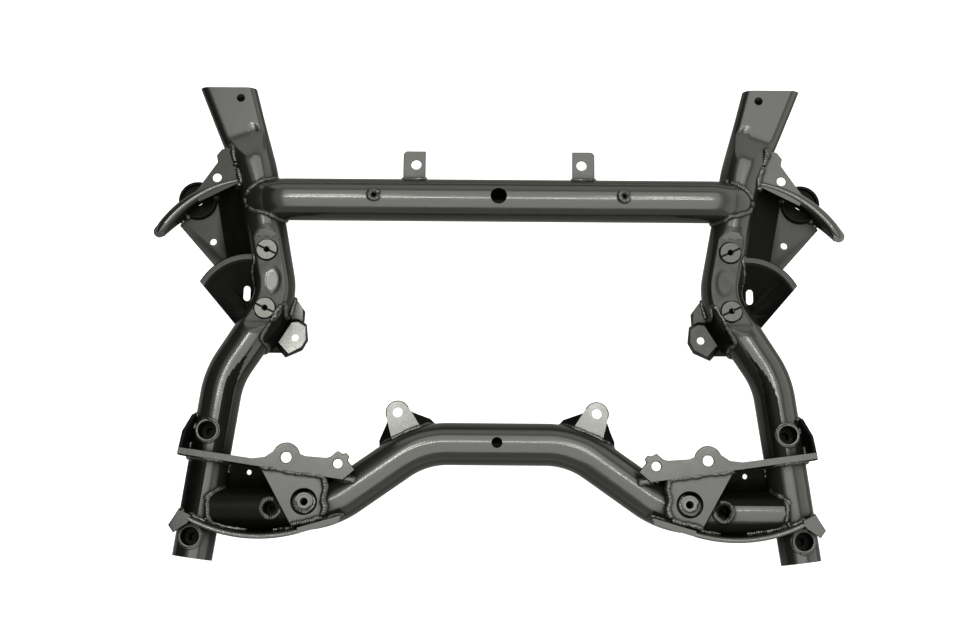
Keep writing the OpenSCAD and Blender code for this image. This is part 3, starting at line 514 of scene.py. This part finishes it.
# Painted shade too: paint that reflects about half as much, laid on flats that are to look darker
SHADED_SATIN = matt_paint("shaded_satin_paint", dark=0.005, light=0.01, shine=0.26)
DISC_STEEL = {
    "left": bare_steel("left_disc_steel", dark=0.085, light=0.155),
    "right": bare_steel("right_disc_steel", dark=0.02, light=0.038),
}
INSERT_STEEL = bare_steel("insert_steel", dark=0.05, light=0.11)


# Side rails
def rail_radius(distance, marks, total):
    """Radius of the rail's round section: full to the waist, slimmer at the knee and slimmest at the rear."""
    waist_end, knee_start, knee_end = marks[3], marks[4], marks[5]
    if distance <= waist_end:
        return RAIL_R
    if distance <= knee_start:
        return between((RAIL_R, KNEE_R), (distance - waist_end) / (knee_start - waist_end))
    if distance <= knee_end:
        return KNEE_R
    return between((KNEE_R, TAIL_R), (distance - knee_end) / (total - knee_end))


def form_limit(y):
    """Height over the rail axis that the press leaves at a lengthways place."""
    behind = (FORM_REAR + FORM_RUN - y) / FORM_RUN
    ahead = (y - FORM_FRONT + FORM_RUN) / FORM_RUN
    return FORM_H + FORM_RISE * max(0.0, behind, ahead)


def hollow(x, y, middle, half, rim):
    """1 in an oval hollow and 0 outside it, blended over a rim given as parts of its half sizes."""
    reach = math.hypot((x - middle[0]) / half[0], (y - middle[1]) / half[1])
    return 1.0 - smooth_step(rim[0], rim[1], reach)


def rail_rings(shrink, pitch, side):
    """Rings of the rail's skin, shrunk by a wall, for the right side (1) or the left side (-1)."""
    stations, marks = path_stations(RAIL_CORNERS, RAIL_BENDS, pitch)
    total = stations[-1][2]
    rings = []
    for point, heading, distance in stations:
        radius = rail_radius(distance, marks, total) - shrink
        half_w = RAIL_R + (FLAT_HALF_W - RAIL_R) * max(0.0, 1 - distance / FLAT_TAPER)
        half_h = between((FLAT_HALF_H, RAIL_R), smooth_step(FLAT_UNTIL, ROUND_FROM, distance))
        in_front = distance < FLAT_TAPER
        if in_front:
            section = stadium(RAIL_SIDES, half_w - half_h, half_h - shrink)
        else:
            section = stadium(RAIL_SIDES, 0, radius)
        ahead = Vector((math.cos(heading), math.sin(heading)))
        across = Vector((-ahead.y, ahead.x))
        # the end is cut straight across the car, so its first rings lean
        lean = max(0.0, 1 - distance / END_SHEAR)
        ring = []
        for u, h in section:
            spot = point + across * u - ahead * u * lean * across.y / ahead.y
            h = smooth_min(h, form_limit(spot.y) - shrink, FORM_EDGE)
            if h > radius / 2:
                h -= DISH_DEPTH * hollow(spot.x, spot.y, DISH_AT, DISH_HALF, DISH_RIM)
            if in_front and h > 0:
                h -= DENT_DEPTH * hollow(u, distance, DENT_AT, DENT_HALF, DENT_RIM)
            ring.append(row_point(side * spot.x, spot.y, RAIL_Z + h))
        rings.append(ring)
    return rings


RAIL_STATIONS = path_stations(RAIL_CORNERS, RAIL_BENDS, RAIL_PITCH)[0]


def off_axis(x, y):
    """How far outboard of the rail's axis a place lies."""
    spot = Vector((abs(x), y))
    point, heading, _ = min(RAIL_STATIONS, key=lambda station: (station[0] - spot).length_squared)
    return (spot - point).dot(Vector((-math.sin(heading), math.cos(heading))))


def shade_on_rail(x, y, z, up):
    """Places from the knee to the rear that get painted shade."""
    if y > BAND_START or z < RAIL_Z:
        return False
    off = off_axis(x, y)
    name = "right" if x > 0 else "left"
    full = smooth_step(BAND_START, BAND_FULL[name], y)
    before_end = y > BAND_END[name]
    band = before_end and between(BAND_IN[name], full) < off < between(BAND_OUT[name], full)
    if x > 0:
        return band
    half = before_end and off > LEFT_HALF_OFF + LEFT_HALF_LEAN * max(0.0, y - LEFT_HALF_FROM)
    patch = LEFT_PATCH[0] < y < LEFT_PATCH[1] and off > LEFT_PATCH_OFF
    return band or half or patch


def shaded_satin_on_rail(x, y, z, up):
    """Painted shade, a dimmer reflection, on the pressed flat round the two bosses, but for the dish between
    them on the left.
    """
    pressed = up > FLAT_SLANT and FORM_REAR < y < FORM_FRONT and z > RAIL_Z + FLAT_LOW
    return pressed and (x > 0 or hollow(-x, y, DISH_AT, DISH_HALF, DISH_RIM) < 0.5)


def side_rail(name, side):
    piece = tube_object(f"{name}_side_rail_skin", rail_rings(0, RAIL_PITCH, side),
                        rail_rings(RAIL_WALL, RAIL_INNER_PITCH, side))
    holes = [(side * END_HOLE[0], END_HOLE[1], END_HOLE_R, RAIL_Z, HIGH)]
    holes += [(side * x, y, radius, -HIGH, HIGH) for x, y, radius in SLEEVES]
    holes += [(side * x, y, radius, RAIL_Z, HIGH) for x, y, radius in BOSSES]
    drilled(piece, holes)
    # Painted shade: black bands and patches from the knee to the rear
    coat(piece, PAINTED_SHADE, shade_on_rail)
    # Painted shade: the pressed flat reflects less
    coat(piece, SHADED_SATIN, shaded_satin_on_rail)
    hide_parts(f"{name}_side_rail")


# Crossmembers
def rear_rings(radius):
    """Rings round the rear crossmember's level path."""
    rings = []
    for point, heading, _ in path_stations(REAR_CORNERS, REAR_BENDS, CROSS_PITCH)[0]:
        across = Vector((-math.sin(heading), math.cos(heading)))
        ring = []
        for k in range(CROSS_SIDES):
            angle = 2 * math.pi * k / CROSS_SIDES
            spot = point + across * radius * math.cos(angle)
            ring.append(row_point(spot.x, spot.y, REAR_Z + radius * math.sin(angle)))
        rings.append(ring)
    return rings


def shade_on_rear(x, y, z, up):
    """Painted shade on the crossmember's ends in the pockets: the whole left end, the front half of the right
    one.
    """
    return x < -POCKET_X or (x > POCKET_X and y > POCKET_Y)


def rear_crossmember():
    piece = tube_object("rear_crossmember_skin", rear_rings(REAR_R), rear_rings(REAR_R - RAIL_WALL))
    holes = [(0, REAR_CORNERS[2][1], REAR_HOLE_R, REAR_Z, HIGH)]
    for side in SIDES.values():
        holes.append((side * CROSS_SLEEVE[0], CROSS_SLEEVE[1], CROSS_SLEEVE[2], -HIGH, HIGH))
        holes.append((side * GUSSET_INSERT[0], GUSSET_INSERT[1], GUSSET_INSERT[2], REAR_Z, HIGH))
    drilled(piece, holes)
    # Painted shade on the crossmember's ends in the pockets
    coat(piece, PAINTED_SHADE, shade_on_rear)
    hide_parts("rear_crossmember")


def cross_axis():
    """Places (x, z, slope, swell) along the front crossmember, which bends down to the rails at two balls."""
    bend_r = CROSS_RISE / (1 - math.cos(CROSS_BEND))
    start = CROSS_END_X - bend_r * math.sin(CROSS_BEND)
    count = round(start / CROSS_PITCH)
    half = [(start * k / count, CROSS_RISE, 0.0, 0.0) for k in range(count)]
    steps = round(CROSS_BEND_FINER * bend_r * CROSS_BEND / CROSS_PITCH)
    ball_reach = math.sqrt(CROSS_BALL_R ** 2 - CROSS_R ** 2)
    for k in range(steps + 1):
        angle = CROSS_BEND * k / steps
        off = bend_r * (angle - CROSS_BALL_AT * CROSS_BEND) / ball_reach
        swell = (CROSS_BALL_R - CROSS_R) * max(0.0, 1 - off * off)
        drop = bend_r * (1 - math.cos(angle))
        half.append((start + bend_r * math.sin(angle), CROSS_RISE - drop, -angle, swell))
    return [(-x, z, -slope, swell) for x, z, slope, swell in reversed(half[1:])] + half


def cross_rings(radius):
    """Rings round the front crossmember."""
    rings = []
    for x, z, slope, swell in cross_axis():
        ring = []
        for k in range(CROSS_SIDES):
            angle = 2 * math.pi * k / CROSS_SIDES
            lift = (radius + swell) * math.sin(angle)
            ring.append(row_point(x - lift * math.sin(slope), CROSS_Y + (radius + swell) * math.cos(angle),
                                  RAIL_Z + z + lift * math.cos(slope)))
        rings.append(ring)
    return rings


def front_crossmember():
    piece = tube_object("front_crossmember_skin", cross_rings(CROSS_R), cross_rings(CROSS_R - RAIL_WALL))
    top = RAIL_Z + CROSS_RISE
    holes = [(0, CROSS_Y, CROSS_HOLE_R, top, HIGH)]
    holes += [(side * INSERT_X, CROSS_Y, INSERT_HOLE_R, top, HIGH) for side in SIDES.values()]
    drilled(piece, holes)
    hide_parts("front_crossmember")


# Pressed pieces
def rim_rod(name, side):
    """Rolled rim along the fold of an arm bracket, thick at its round free end and thin at the rail."""
    rings = []
    for k in range(RIM_STEPS + 1):
        t = k / RIM_STEPS
        angle = between(RIM_ANGLES, t)
        thick = between(RIM_THICK, smooth_step(0, 1, t)) * math.sqrt(min(1.0, RIM_TIP + RIM_TIP_GROWTH * t))
        ring = []
        for i in range(RIM_SIDES):
            turn = 2 * math.pi * i / RIM_SIDES
            reach = RIM_R - RIM_DRIFT * t + thick * math.cos(turn)
            x = RIM_AT[0] + reach * math.cos(angle)
            y = RIM_AT[1] + reach * math.sin(angle)
            ring.append(row_point(side * x, y, RAIL_Z + RIM_LIFT + RIM_FLATTEN * thick * math.sin(turn)))
        rings.append(ring)
    bm = bmesh.new()
    add_rod(bm, rings)
    mesh_object(f"{name}_arm_rim", bm, PAINT)


def slope_shoulder(bm):
    """Lets the top of an engine mount's shoulder fall away from the rail."""
    for vert in bm.verts:
        if vert.co.z / MM - RAIL_Z > SHOULDER_H:
            x = abs(vert.co.x) / MM - SHOULDER_AT[0]
            y = vert.co.y / MM + SHIFT_Y - SHOULDER_AT[1]
            away = SHOULDER_AWAY[0] * x + SHOULDER_AWAY[1] * y
            vert.co.z -= max(0.0, min(SHOULDER_DROP, SHOULDER_FALL * away + SHOULDER_LEAD)) * MM


def is_thin(face):
    """True for a face as narrow as the step between two facets."""
    return 2 * face.calc_area() < THIN_STEP * MM * sum(edge.calc_length() for edge in face.edges)


def dressed(node, edge, material):
    """Copy of a CAD piece with its flat faces joined and its sharp edges rounded by some millimetres."""
    bm = bmesh.new()
    bm.from_mesh(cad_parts[node].data)
    bmesh.ops.remove_doubles(bm, verts=bm.verts, dist=JOIN)
    bmesh.ops.dissolve_limit(bm, angle_limit=COPLANAR, verts=bm.verts, edges=bm.edges,
                             use_dissolve_boundaries=False, delimit=set())
    thin = {face for face in bm.faces if is_thin(face)}
    if node.endswith("engine_mount"):
        slope_shoulder(bm)
    corners = [e for e in bm.edges if len(e.link_faces) == 2 and e.calc_face_angle() > SHARP
               and not any(f in thin for v in e.verts for f in v.link_faces)]
    bmesh.ops.bevel(bm, geom=corners, offset=edge * MM, offset_type="OFFSET", segments=2, profile=0.5,
                    affect="EDGES", clamp_overlap=False)
    piece = mesh_object(f"{node}_finish", bm, material)
    level = piece.modifiers.new("level", "WEIGHTED_NORMAL")
    level.keep_sharp = True
    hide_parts(node)
    return piece


PLATES = ["arm_bracket", "arm_base_plate", "arm_seat", "arm_cup", "engine_mount", "pocket_front_wall",
          "pocket_rear_wall", "gusset", "front_tab", "rear_ear", "upper_sleeve", "lower_sleeve",
          "cross_sleeve"]
PLATE_EDGE = 1.0
EARS_EDGE = 1.5
SMALL_EDGE = 0.4
# Pressed pieces laid in the paint that reflects less, a painted shade on them
SATIN_PLATES = {
    "right": ["arm_base_plate", "arm_cup", "engine_mount"],
    "left": ["arm_base_plate", "arm_cup", "arm_bracket"],
}
# Painted shade: the tables below give where the pressed pieces are painted black
# Places in the pressed pieces that stay black in the photograph: those below a height
BLACK_BELOW = {"arm_cup": 49, "pocket_front_wall": 60, "pocket_rear_wall": 52, "arm_bracket": 38,
               "arm_seat": HIGH, "upper_sleeve": 50, "lower_sleeve": 50, "cross_sleeve": HIGH}
# those that face up less than this
BLACK_SLANT = {"engine_mount": 0.9, "pocket_front_wall": 0.95, "arm_base_plate": 0.95, "gusset": 0.95,
               "rear_ear": 0.985, "upper_sleeve": 0.9, "lower_sleeve": 0.9}
# and those outboard of an x and in front of a y, where NOWHERE lies outside the part
BLACK_BEYOND = {"engine_mount": (291, -HIGH), "pocket_front_wall": (400, -181)}
NOWHERE = (2 * RAIL_CORNERS[0][0], 0)
# Depth of the discs' grey face, below which they are painted black as shade
DISC_RIM = 0.5


def stays_black(plate):
    """Test of a place (x, y, z) and upward slant for coat(), true where painted shade goes."""
    below = BLACK_BELOW.get(plate, -HIGH)
    slant = BLACK_SLANT.get(plate, -1)
    beyond_x, beyond_y = BLACK_BEYOND.get(plate, NOWHERE)
    return lambda x, y, z, up: z < below or up < slant or (abs(x) > beyond_x and y > beyond_y)


def pressed_pieces(name):
    for plate in PLATES:
        edge = EARS_EDGE if plate == "rear_ear" else PLATE_EDGE
        # Some pieces get painted shade as a dimmer reflection
        material = SHADED_SATIN if plate in SATIN_PLATES[name] else PAINT
        piece = dressed(f"{name}_{plate}", edge, material)
        if plate in BLACK_BELOW or plate in BLACK_SLANT:
            # Painted shade on the places that stay black
            coat(piece, PAINTED_SHADE, stays_black(plate))


def discs_and_inserts(name):
    for part in ("front_boss", "rear_boss"):
        piece = dressed(f"{name}_{part}", SMALL_EDGE, DISC_STEEL[name])
        top = max(v.co.z for v in piece.data.vertices) / MM
        # Painted shade on the discs below their grey face
        coat(piece, PAINTED_SHADE, lambda x, y, z, up: z < top - DISC_RIM)
    for part in ("gusset_insert", "thread_insert"):
        dressed(f"{name}_{part}", SMALL_EDGE, INSERT_STEEL)


# Weld beads: radius for each piece whose cut edges are welded to its neighbours
BEADS = {"front_crossmember": 3.6, "rear_crossmember": 3.6}
SIDE_BEADS = {"arm_bracket": 4.2, "arm_cup": 2.2, "engine_mount": 3.2, "pocket_front_wall": 3.2,
              "pocket_rear_wall": 3.2, "front_tab": 2.2, "rear_ear": 2.4, "side_rail": 1.7,
              "front_boss": 1.8, "rear_boss": 1.8}
for name in SIDES:
    BEADS.update({f"{name}_{part}": radius for part, radius in SIDE_BEADS.items()})
# Beads listed one by one on the right: radius and points
HAND_BEADS = [
    (3.2, [(325, -196.8, 63.6), (234.5, -210.2, 63.6)]),
    (4.4, [(235, -208, 63), (233.5, -222, 62), (236.5, -236, 61.5), (234, -250, 62), (237.5, -263, 62.5)]),
    (3.4, [(237, -263.5, 63.2), (281, -275, 63.2)]),
    (3.4, [(387.5, -228, 48), (394, -234, 53.5), (395.5, -246, 57), (394, -262, 57), (389, -273, 50)]),
]
HAND_KEY = 40
# Seams: widest gap, least fold of the edge, least bulge, and how a free place is told from a covered one
SEAM_GAP = 0.6
SEAM_ANGLE = math.radians(25)
LEAST_BULGE = 0.3
AIR_OVER_BEAD = 1
FREE_REACH = 0.4
FREE_WAYS = 3
POINT_DIGITS = 7
DIRECTIONS = [Vector((x, y, z)).normalized() for x in (-1, 0, 1) for y in (-1, 0, 1) for z in (-1, 0, 1)
              if (x, y, z) != (0, 0, 0)]
# Form of a bead: its size is given in parts of its radius, its waves and tips in millimetres
BEAD_PITCH = 0.9
BEAD_SIDES = 10
BEAD_SMOOTHINGS = 3
SHORTEST_SPAN = 1e-9
SHORTEST_BEAD = 5
BEAD_SIZE = 0.93
SWELL = 0.34
SWELL_LENGTH = 7
SWELL_ROW = 0.5
RIPPLE = 0.12
RIPPLE_LENGTH = 3.2
WANDER = 0.5
WANDER_LENGTH = 9
WANDER_ROW = 7.5
BEAD_LIFT = 0.2
BEAD_TIP = 0.45
BEAD_TIP_LENGTH = 4


def node_tree(nodes):
    """Search tree over the CAD meshes of some nodes."""
    points = []
    faces = []
    for node in nodes:
        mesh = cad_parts[node].data
        first = len(points)
        points += [v.co.copy() for v in mesh.vertices]
        faces += [[first + k for k in p.vertices] for p in mesh.polygons]
    return BVHTree.FromPolygons(points, faces)


def open_to_air(spot, everything):
    """True where enough directions lead out of the part."""
    free = [way for way in DIRECTIONS if everything.ray_cast(spot, way, FREE_REACH)[0] is None]
    return len(free) >= FREE_WAYS


def seam_edges(node, others, everything, radius):
    """Edges of a node that run along another piece: pairs of ends with the direction the bead bulges in."""
    bm = bmesh.new()
    bm.from_mesh(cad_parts[node].data)
    bmesh.ops.remove_doubles(bm, verts=bm.verts, dist=JOIN)
    seams = []
    for edge in bm.edges:
        if len(edge.link_faces) != 2 or edge.calc_face_angle() < SEAM_ANGLE:
            continue
        middle = (edge.verts[0].co + edge.verts[1].co) / 2
        spot, normal = others.find_nearest(middle, SEAM_GAP * MM)[:2]
        if spot is None:
            continue
        shown = max((face.normal for face in edge.link_faces), key=normal.dot)
        bulge = shown + normal
        if bulge.length < LEAST_BULGE:
            continue
        bulge.normalize()
        if open_to_air(middle + bulge * (radius + AIR_OVER_BEAD) * MM, everything):
            ends = tuple(tuple(round(c, POINT_DIGITS) for c in v.co) for v in edge.verts)
            seams.append((ends, bulge))
    bm.free()
    return seams


def chains(seams):
    """Joins seam edges end to end into lines of (point, bulge)."""
    at = {}
    for number, (ends, bulge) in enumerate(seams):
        for end in ends:
            at.setdefault(end, []).append(number)
    used = set()
    lines = []
    starts = [end for end, members in at.items() if len(members) != 2] + list(at)
    for start in starts:
        for first in at[start]:
            if first in used:
                continue
            line = [(Vector(start), seams[first][1])]
            here, number = start, first
            while number is not None:
                used.add(number)
                ends, bulge = seams[number]
                here = ends[1] if ends[0] == here else ends[0]
                line.append((Vector(here), bulge))
                ahead = [k for k in at[here] if k not in used]
                number = ahead[0] if len(at[here]) == 2 and ahead else None
            lines.append(line)
    return lines


def even_line(line, pitch):
    """The same line with evenly spaced, lightly smoothed points, and its length."""
    places = [0.0]
    for (a, _), (b, _) in zip(line, line[1:]):
        places.append(places[-1] + (b - a).length)
    total = places[-1]
    count = max(2, round(total / pitch))
    points = []
    k = 0
    for i in range(count + 1):
        place = total * i / count
        while k < len(places) - 2 and places[k + 1] < place:
            k += 1
        span = max(places[k + 1] - places[k], SHORTEST_SPAN)
        t = (place - places[k]) / span
        points.append((line[k][0].lerp(line[k + 1][0], t), line[k][1].lerp(line[k + 1][1], t).normalized()))
    for _ in range(BEAD_SMOOTHINGS):
        inner = [((a[0] + 2 * b[0] + c[0]) / 4, (a[1] + 2 * b[1] + c[1]).normalized())
                 for a, b, c in zip(points, points[1:], points[2:])]
        points = [points[0]] + inner + [points[-1]]
    return points, total


def add_bead(bm, line, radius, key):
    """Sweeps a rippled, uneven bead along a line; beads with another key are uneven in another way."""
    points, total = even_line(line, BEAD_PITCH * MM)
    if total < SHORTEST_BEAD * MM:
        return
    rings = []
    last = len(points) - 1
    for i, (point, bulge) in enumerate(points):
        along = (points[min(i + 1, last)][0] - points[max(i - 1, 0)][0]).normalized()
        side = along.cross(bulge).normalized()
        up = side.cross(along)
        place = total * i / last / MM
        swell = noise.noise((place / SWELL_LENGTH, key, SWELL_ROW))
        wander = noise.noise((place / WANDER_LENGTH, key, WANDER_ROW))
        ripple = abs(math.sin(math.pi * place / RIPPLE_LENGTH + swell))
        taper = min(1.0, BEAD_TIP + min(place, total / MM - place) / BEAD_TIP_LENGTH)
        r = radius * MM * taper * (BEAD_SIZE + SWELL * swell + RIPPLE * ripple)
        middle = point + bulge * BEAD_LIFT * r + side * WANDER * wander * radius * MM
        rings.append([middle + r * (math.cos(a) * side + math.sin(a) * up)
                      for a in (2 * math.pi * k / BEAD_SIDES for k in range(BEAD_SIDES))])
    add_rod(bm, rings)


def weld_beads():
    """Beads along the seams of the pieces in BEADS."""
    names = list(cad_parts)
    everything = node_tree(names)
    for node, radius in BEADS.items():
        others = node_tree([name for name in names if name != node])
        bm = bmesh.new()
        for key, line in enumerate(chains(seam_edges(node, others, everything, radius))):
            add_bead(bm, line, radius, key + len(node))
        if bm.faces:
            # Beads round the bosses get painted shade, a black ring
            mesh_object(f"weld_{node}", bm, PAINTED_SHADE if node.endswith("boss") else WELD)
        else:
            bm.free()


def hand_beads():
    """Beads round the gusset and the rear wall's end, which bulge upwards."""
    for name, side in SIDES.items():
        bm = bmesh.new()
        for key, (radius, line) in enumerate(HAND_BEADS):
            points = [(row_point(side * x, y, z), Vector((0, 0, 1))) for x, y, z in line]
            add_bead(bm, points, radius, HAND_KEY + key + side)
        mesh_object(f"weld_{name}_gusset", bm, WELD)


# Stage, in metres: floor, flags, lights and camera
LAMP_COLOUR = (1, 1, 0.92)
FLOOR_HALF = 40
FLOOR_WHITE = 0.9
FLOOR_GREY = (0.5, 0.5, 0.5, 1)
CLOTH_BLACK = (0.004, 0.004, 0.004, 1)
WORLD_FILL = 0.25
WORLD_WHITE = 1.0
# Ends of the flags round the part
ROOM_LEFT = -2.2
ROOM_RIGHT = 2.6
ROOM_NEAR = -3.4
ROOM_LONG = 6.6
ROOM_WIDE = 4.8
ROOM_FAR = 3.2
CARD_HALF = 0.9
CARD_LIFT = 0.0005
# The photograph's camera, fitted to pairs of holes and to the edges of the tubes
CAMERA_AT = (-0.0091, -0.3514, 2.029)
CAMERA_PITCH = math.radians(10.01)
CAMERA_YAW = math.radians(0.46)
CAMERA_ROLL = math.radians(0.53)
CAMERA_LENS = 53.76
CAMERA_SENSOR = 36
CAMERA_CLIP = 200


def stage_sheet(name, corner, along, rise, material):
    """One flat sheet that belongs to the stage."""
    low = Vector(corner)
    run = Vector(along)
    up = Vector(rise)
    mesh = bpy.data.meshes.new(name)
    mesh.from_pydata([low, low + run, low + run + up, low + up], [], [(0, 1, 2, 3)])
    mesh.materials.append(material)
    sheet = bpy.data.objects.new(name, mesh)
    bpy.context.scene.collection.objects.link(sheet)
    return sheet


def floor():
    """White ground that stays white to the camera and still takes a faint shadow."""
    material, nodes, links = node_material("white_ground")
    nodes.clear()
    out = nodes.new("ShaderNodeOutputMaterial")
    path = nodes.new("ShaderNodeLightPath").outputs
    seen = math_node(nodes, links, "MAXIMUM", path["Is Camera Ray"], path["Is Glossy Ray"])
    shown = math_node(nodes, links, "MAXIMUM", seen, path["Is Transmission Ray"])
    glow = nodes.new("ShaderNodeEmission")
    links.new(math_node(nodes, links, "MULTIPLY", shown, FLOOR_WHITE), glow.inputs["Strength"])
    matt = nodes.new("ShaderNodeBsdfDiffuse")
    matt.inputs["Color"].default_value = FLOOR_GREY
    both = nodes.new("ShaderNodeAddShader")
    links.new(glow.outputs[0], both.inputs[0])
    links.new(matt.outputs[0], both.inputs[1])
    links.new(both.outputs[0], out.inputs["Surface"])
    size = 2 * FLOOR_HALF
    stage_sheet("ground", (-FLOOR_HALF, -FLOOR_HALF, 0), (size, 0, 0), (0, size, 0), material)


def flag(name, corner, along, rise, glow):
    """Cloth beside or under the part, unseen by the camera, which the paint mirrors as bright as its glow."""
    material, nodes, links = node_material(f"{name}_cloth")
    shader = nodes["Principled BSDF"]
    shader.inputs["Base Color"].default_value = CLOTH_BLACK
    shader.inputs["Roughness"].default_value = 1.0
    shader.inputs["Emission Color"].default_value = (*LAMP_COLOUR, 1)
    shader.inputs["Emission Strength"].default_value = glow
    cloth = stage_sheet(name, corner, along, rise, material)
    cloth.visible_camera = False
    cloth.visible_shadow = False


def area_light(name, place, size_x, size_y, radiance):
    """Level lamp that faces down; radiance is what a mirror would show of it."""
    data = bpy.data.lights.new(name, "AREA")
    data.shape = "RECTANGLE"
    data.size = size_x
    data.size_y = size_y
    data.energy = radiance * math.pi * size_x * size_y
    data.color = LAMP_COLOUR
    lamp = bpy.data.objects.new(name, data)
    lamp.location = place
    bpy.context.scene.collection.objects.link(lamp)


def world_light():
    """White surround for the camera and mirror rays, and a dim fill for the rest."""
    world = bpy.data.worlds.new("studio")
    bpy.context.scene.world = world
    world.use_nodes = True
    nodes = world.node_tree.nodes
    links = world.node_tree.links
    path = nodes.new("ShaderNodeLightPath").outputs
    level = nodes.new("ShaderNodeMapRange")
    level.inputs["To Min"].default_value = WORLD_FILL
    level.inputs["To Max"].default_value = WORLD_WHITE
    seen = math_node(nodes, links, "MAXIMUM", path["Is Camera Ray"], path["Is Glossy Ray"])
    links.new(seen, level.inputs["Value"])
    back = nodes["Background"]
    back.inputs["Color"].default_value = (1, 1, 1, 1)
    links.new(level.outputs["Result"], back.inputs["Strength"])


def camera():
    """Camera about two metres up, a little behind the middle, looking down and ten degrees forward."""
    data = bpy.data.cameras.new("camera")
    data.lens = CAMERA_LENS
    data.sensor_width = CAMERA_SENSOR
    data.sensor_fit = "HORIZONTAL"
    data.clip_end = CAMERA_CLIP
    lens = bpy.data.objects.new("camera", data)
    lens.matrix_world = (Matrix.Translation(CAMERA_AT) @ Matrix.Rotation(CAMERA_YAW, 4, "Y")
                         @ Matrix.Rotation(CAMERA_PITCH, 4, "X") @ Matrix.Rotation(CAMERA_ROLL, 4, "Z"))
    bpy.context.scene.collection.objects.link(lens)
    bpy.context.scene.camera = lens


def flags():
    """Grey and black cloths round the part, and a dim card under it."""
    near_left = (ROOM_LEFT, ROOM_NEAR, 0)
    deep = (0, ROOM_LONG, 0)
    wide = (ROOM_WIDE, 0, 0)
    flag("flag_left", near_left, deep, rise=(0, 0, 2.9), glow=0.06)
    flag("card_left", (-0.68, -0.6, 0), (0, 1.2, 0), rise=(0, 0, 0.5), glow=0.02)
    flag("flag_right", (ROOM_RIGHT, ROOM_NEAR, 0), deep, rise=(0, 0, 2.7), glow=2.0)
    flag("flag_near", near_left, wide, rise=(0, 0, 2.6), glow=0.75)
    flag("flag_far", (ROOM_LEFT, ROOM_FAR, 0), wide, rise=(0, 0, 0.9), glow=0.4)
    flag("flag_far_top", (ROOM_LEFT, ROOM_FAR, 0.9), wide, rise=(0, 0, 1.7), glow=1.7)
    size = 2 * CARD_HALF
    flag("ground_card", (-CARD_HALF, -CARD_HALF, CARD_LIFT), (size, 0, 0), (0, size, 0), glow=0.4)


def lamps():
    """A softbox overhead, and the lamps that the tubes, the front ends and the left mount's pad mirror."""
    area_light("softbox", (0.25, -0.4, 2.7), size_x=2.6, size_y=5.4, radiance=2.8)
    for x in (-0.42, 0.42):
        area_light(f"tube_lamp_{x}", (x, 0.25, 2.6), size_x=0.75, size_y=0.045, radiance=75)
        area_light(f"ear_panel_{x}", (1.29 * x, 0.68, 2.62), size_x=0.22, size_y=0.26, radiance=22)
    area_light("pad_panel", (-0.61, 0.33, 2.62), size_x=0.2, size_y=0.16, radiance=22)


for name, side in SIDES.items():
    side_rail(name, side)
    rim_rod(name, side)
front_crossmember()
rear_crossmember()
for name in SIDES:
    pressed_pieces(name)
    discs_and_inserts(name)
weld_beads()
hand_beads()
floor()
flags()
lamps()
world_light()
camera()
bpy.context.scene.view_settings.view_transform = "Standard"
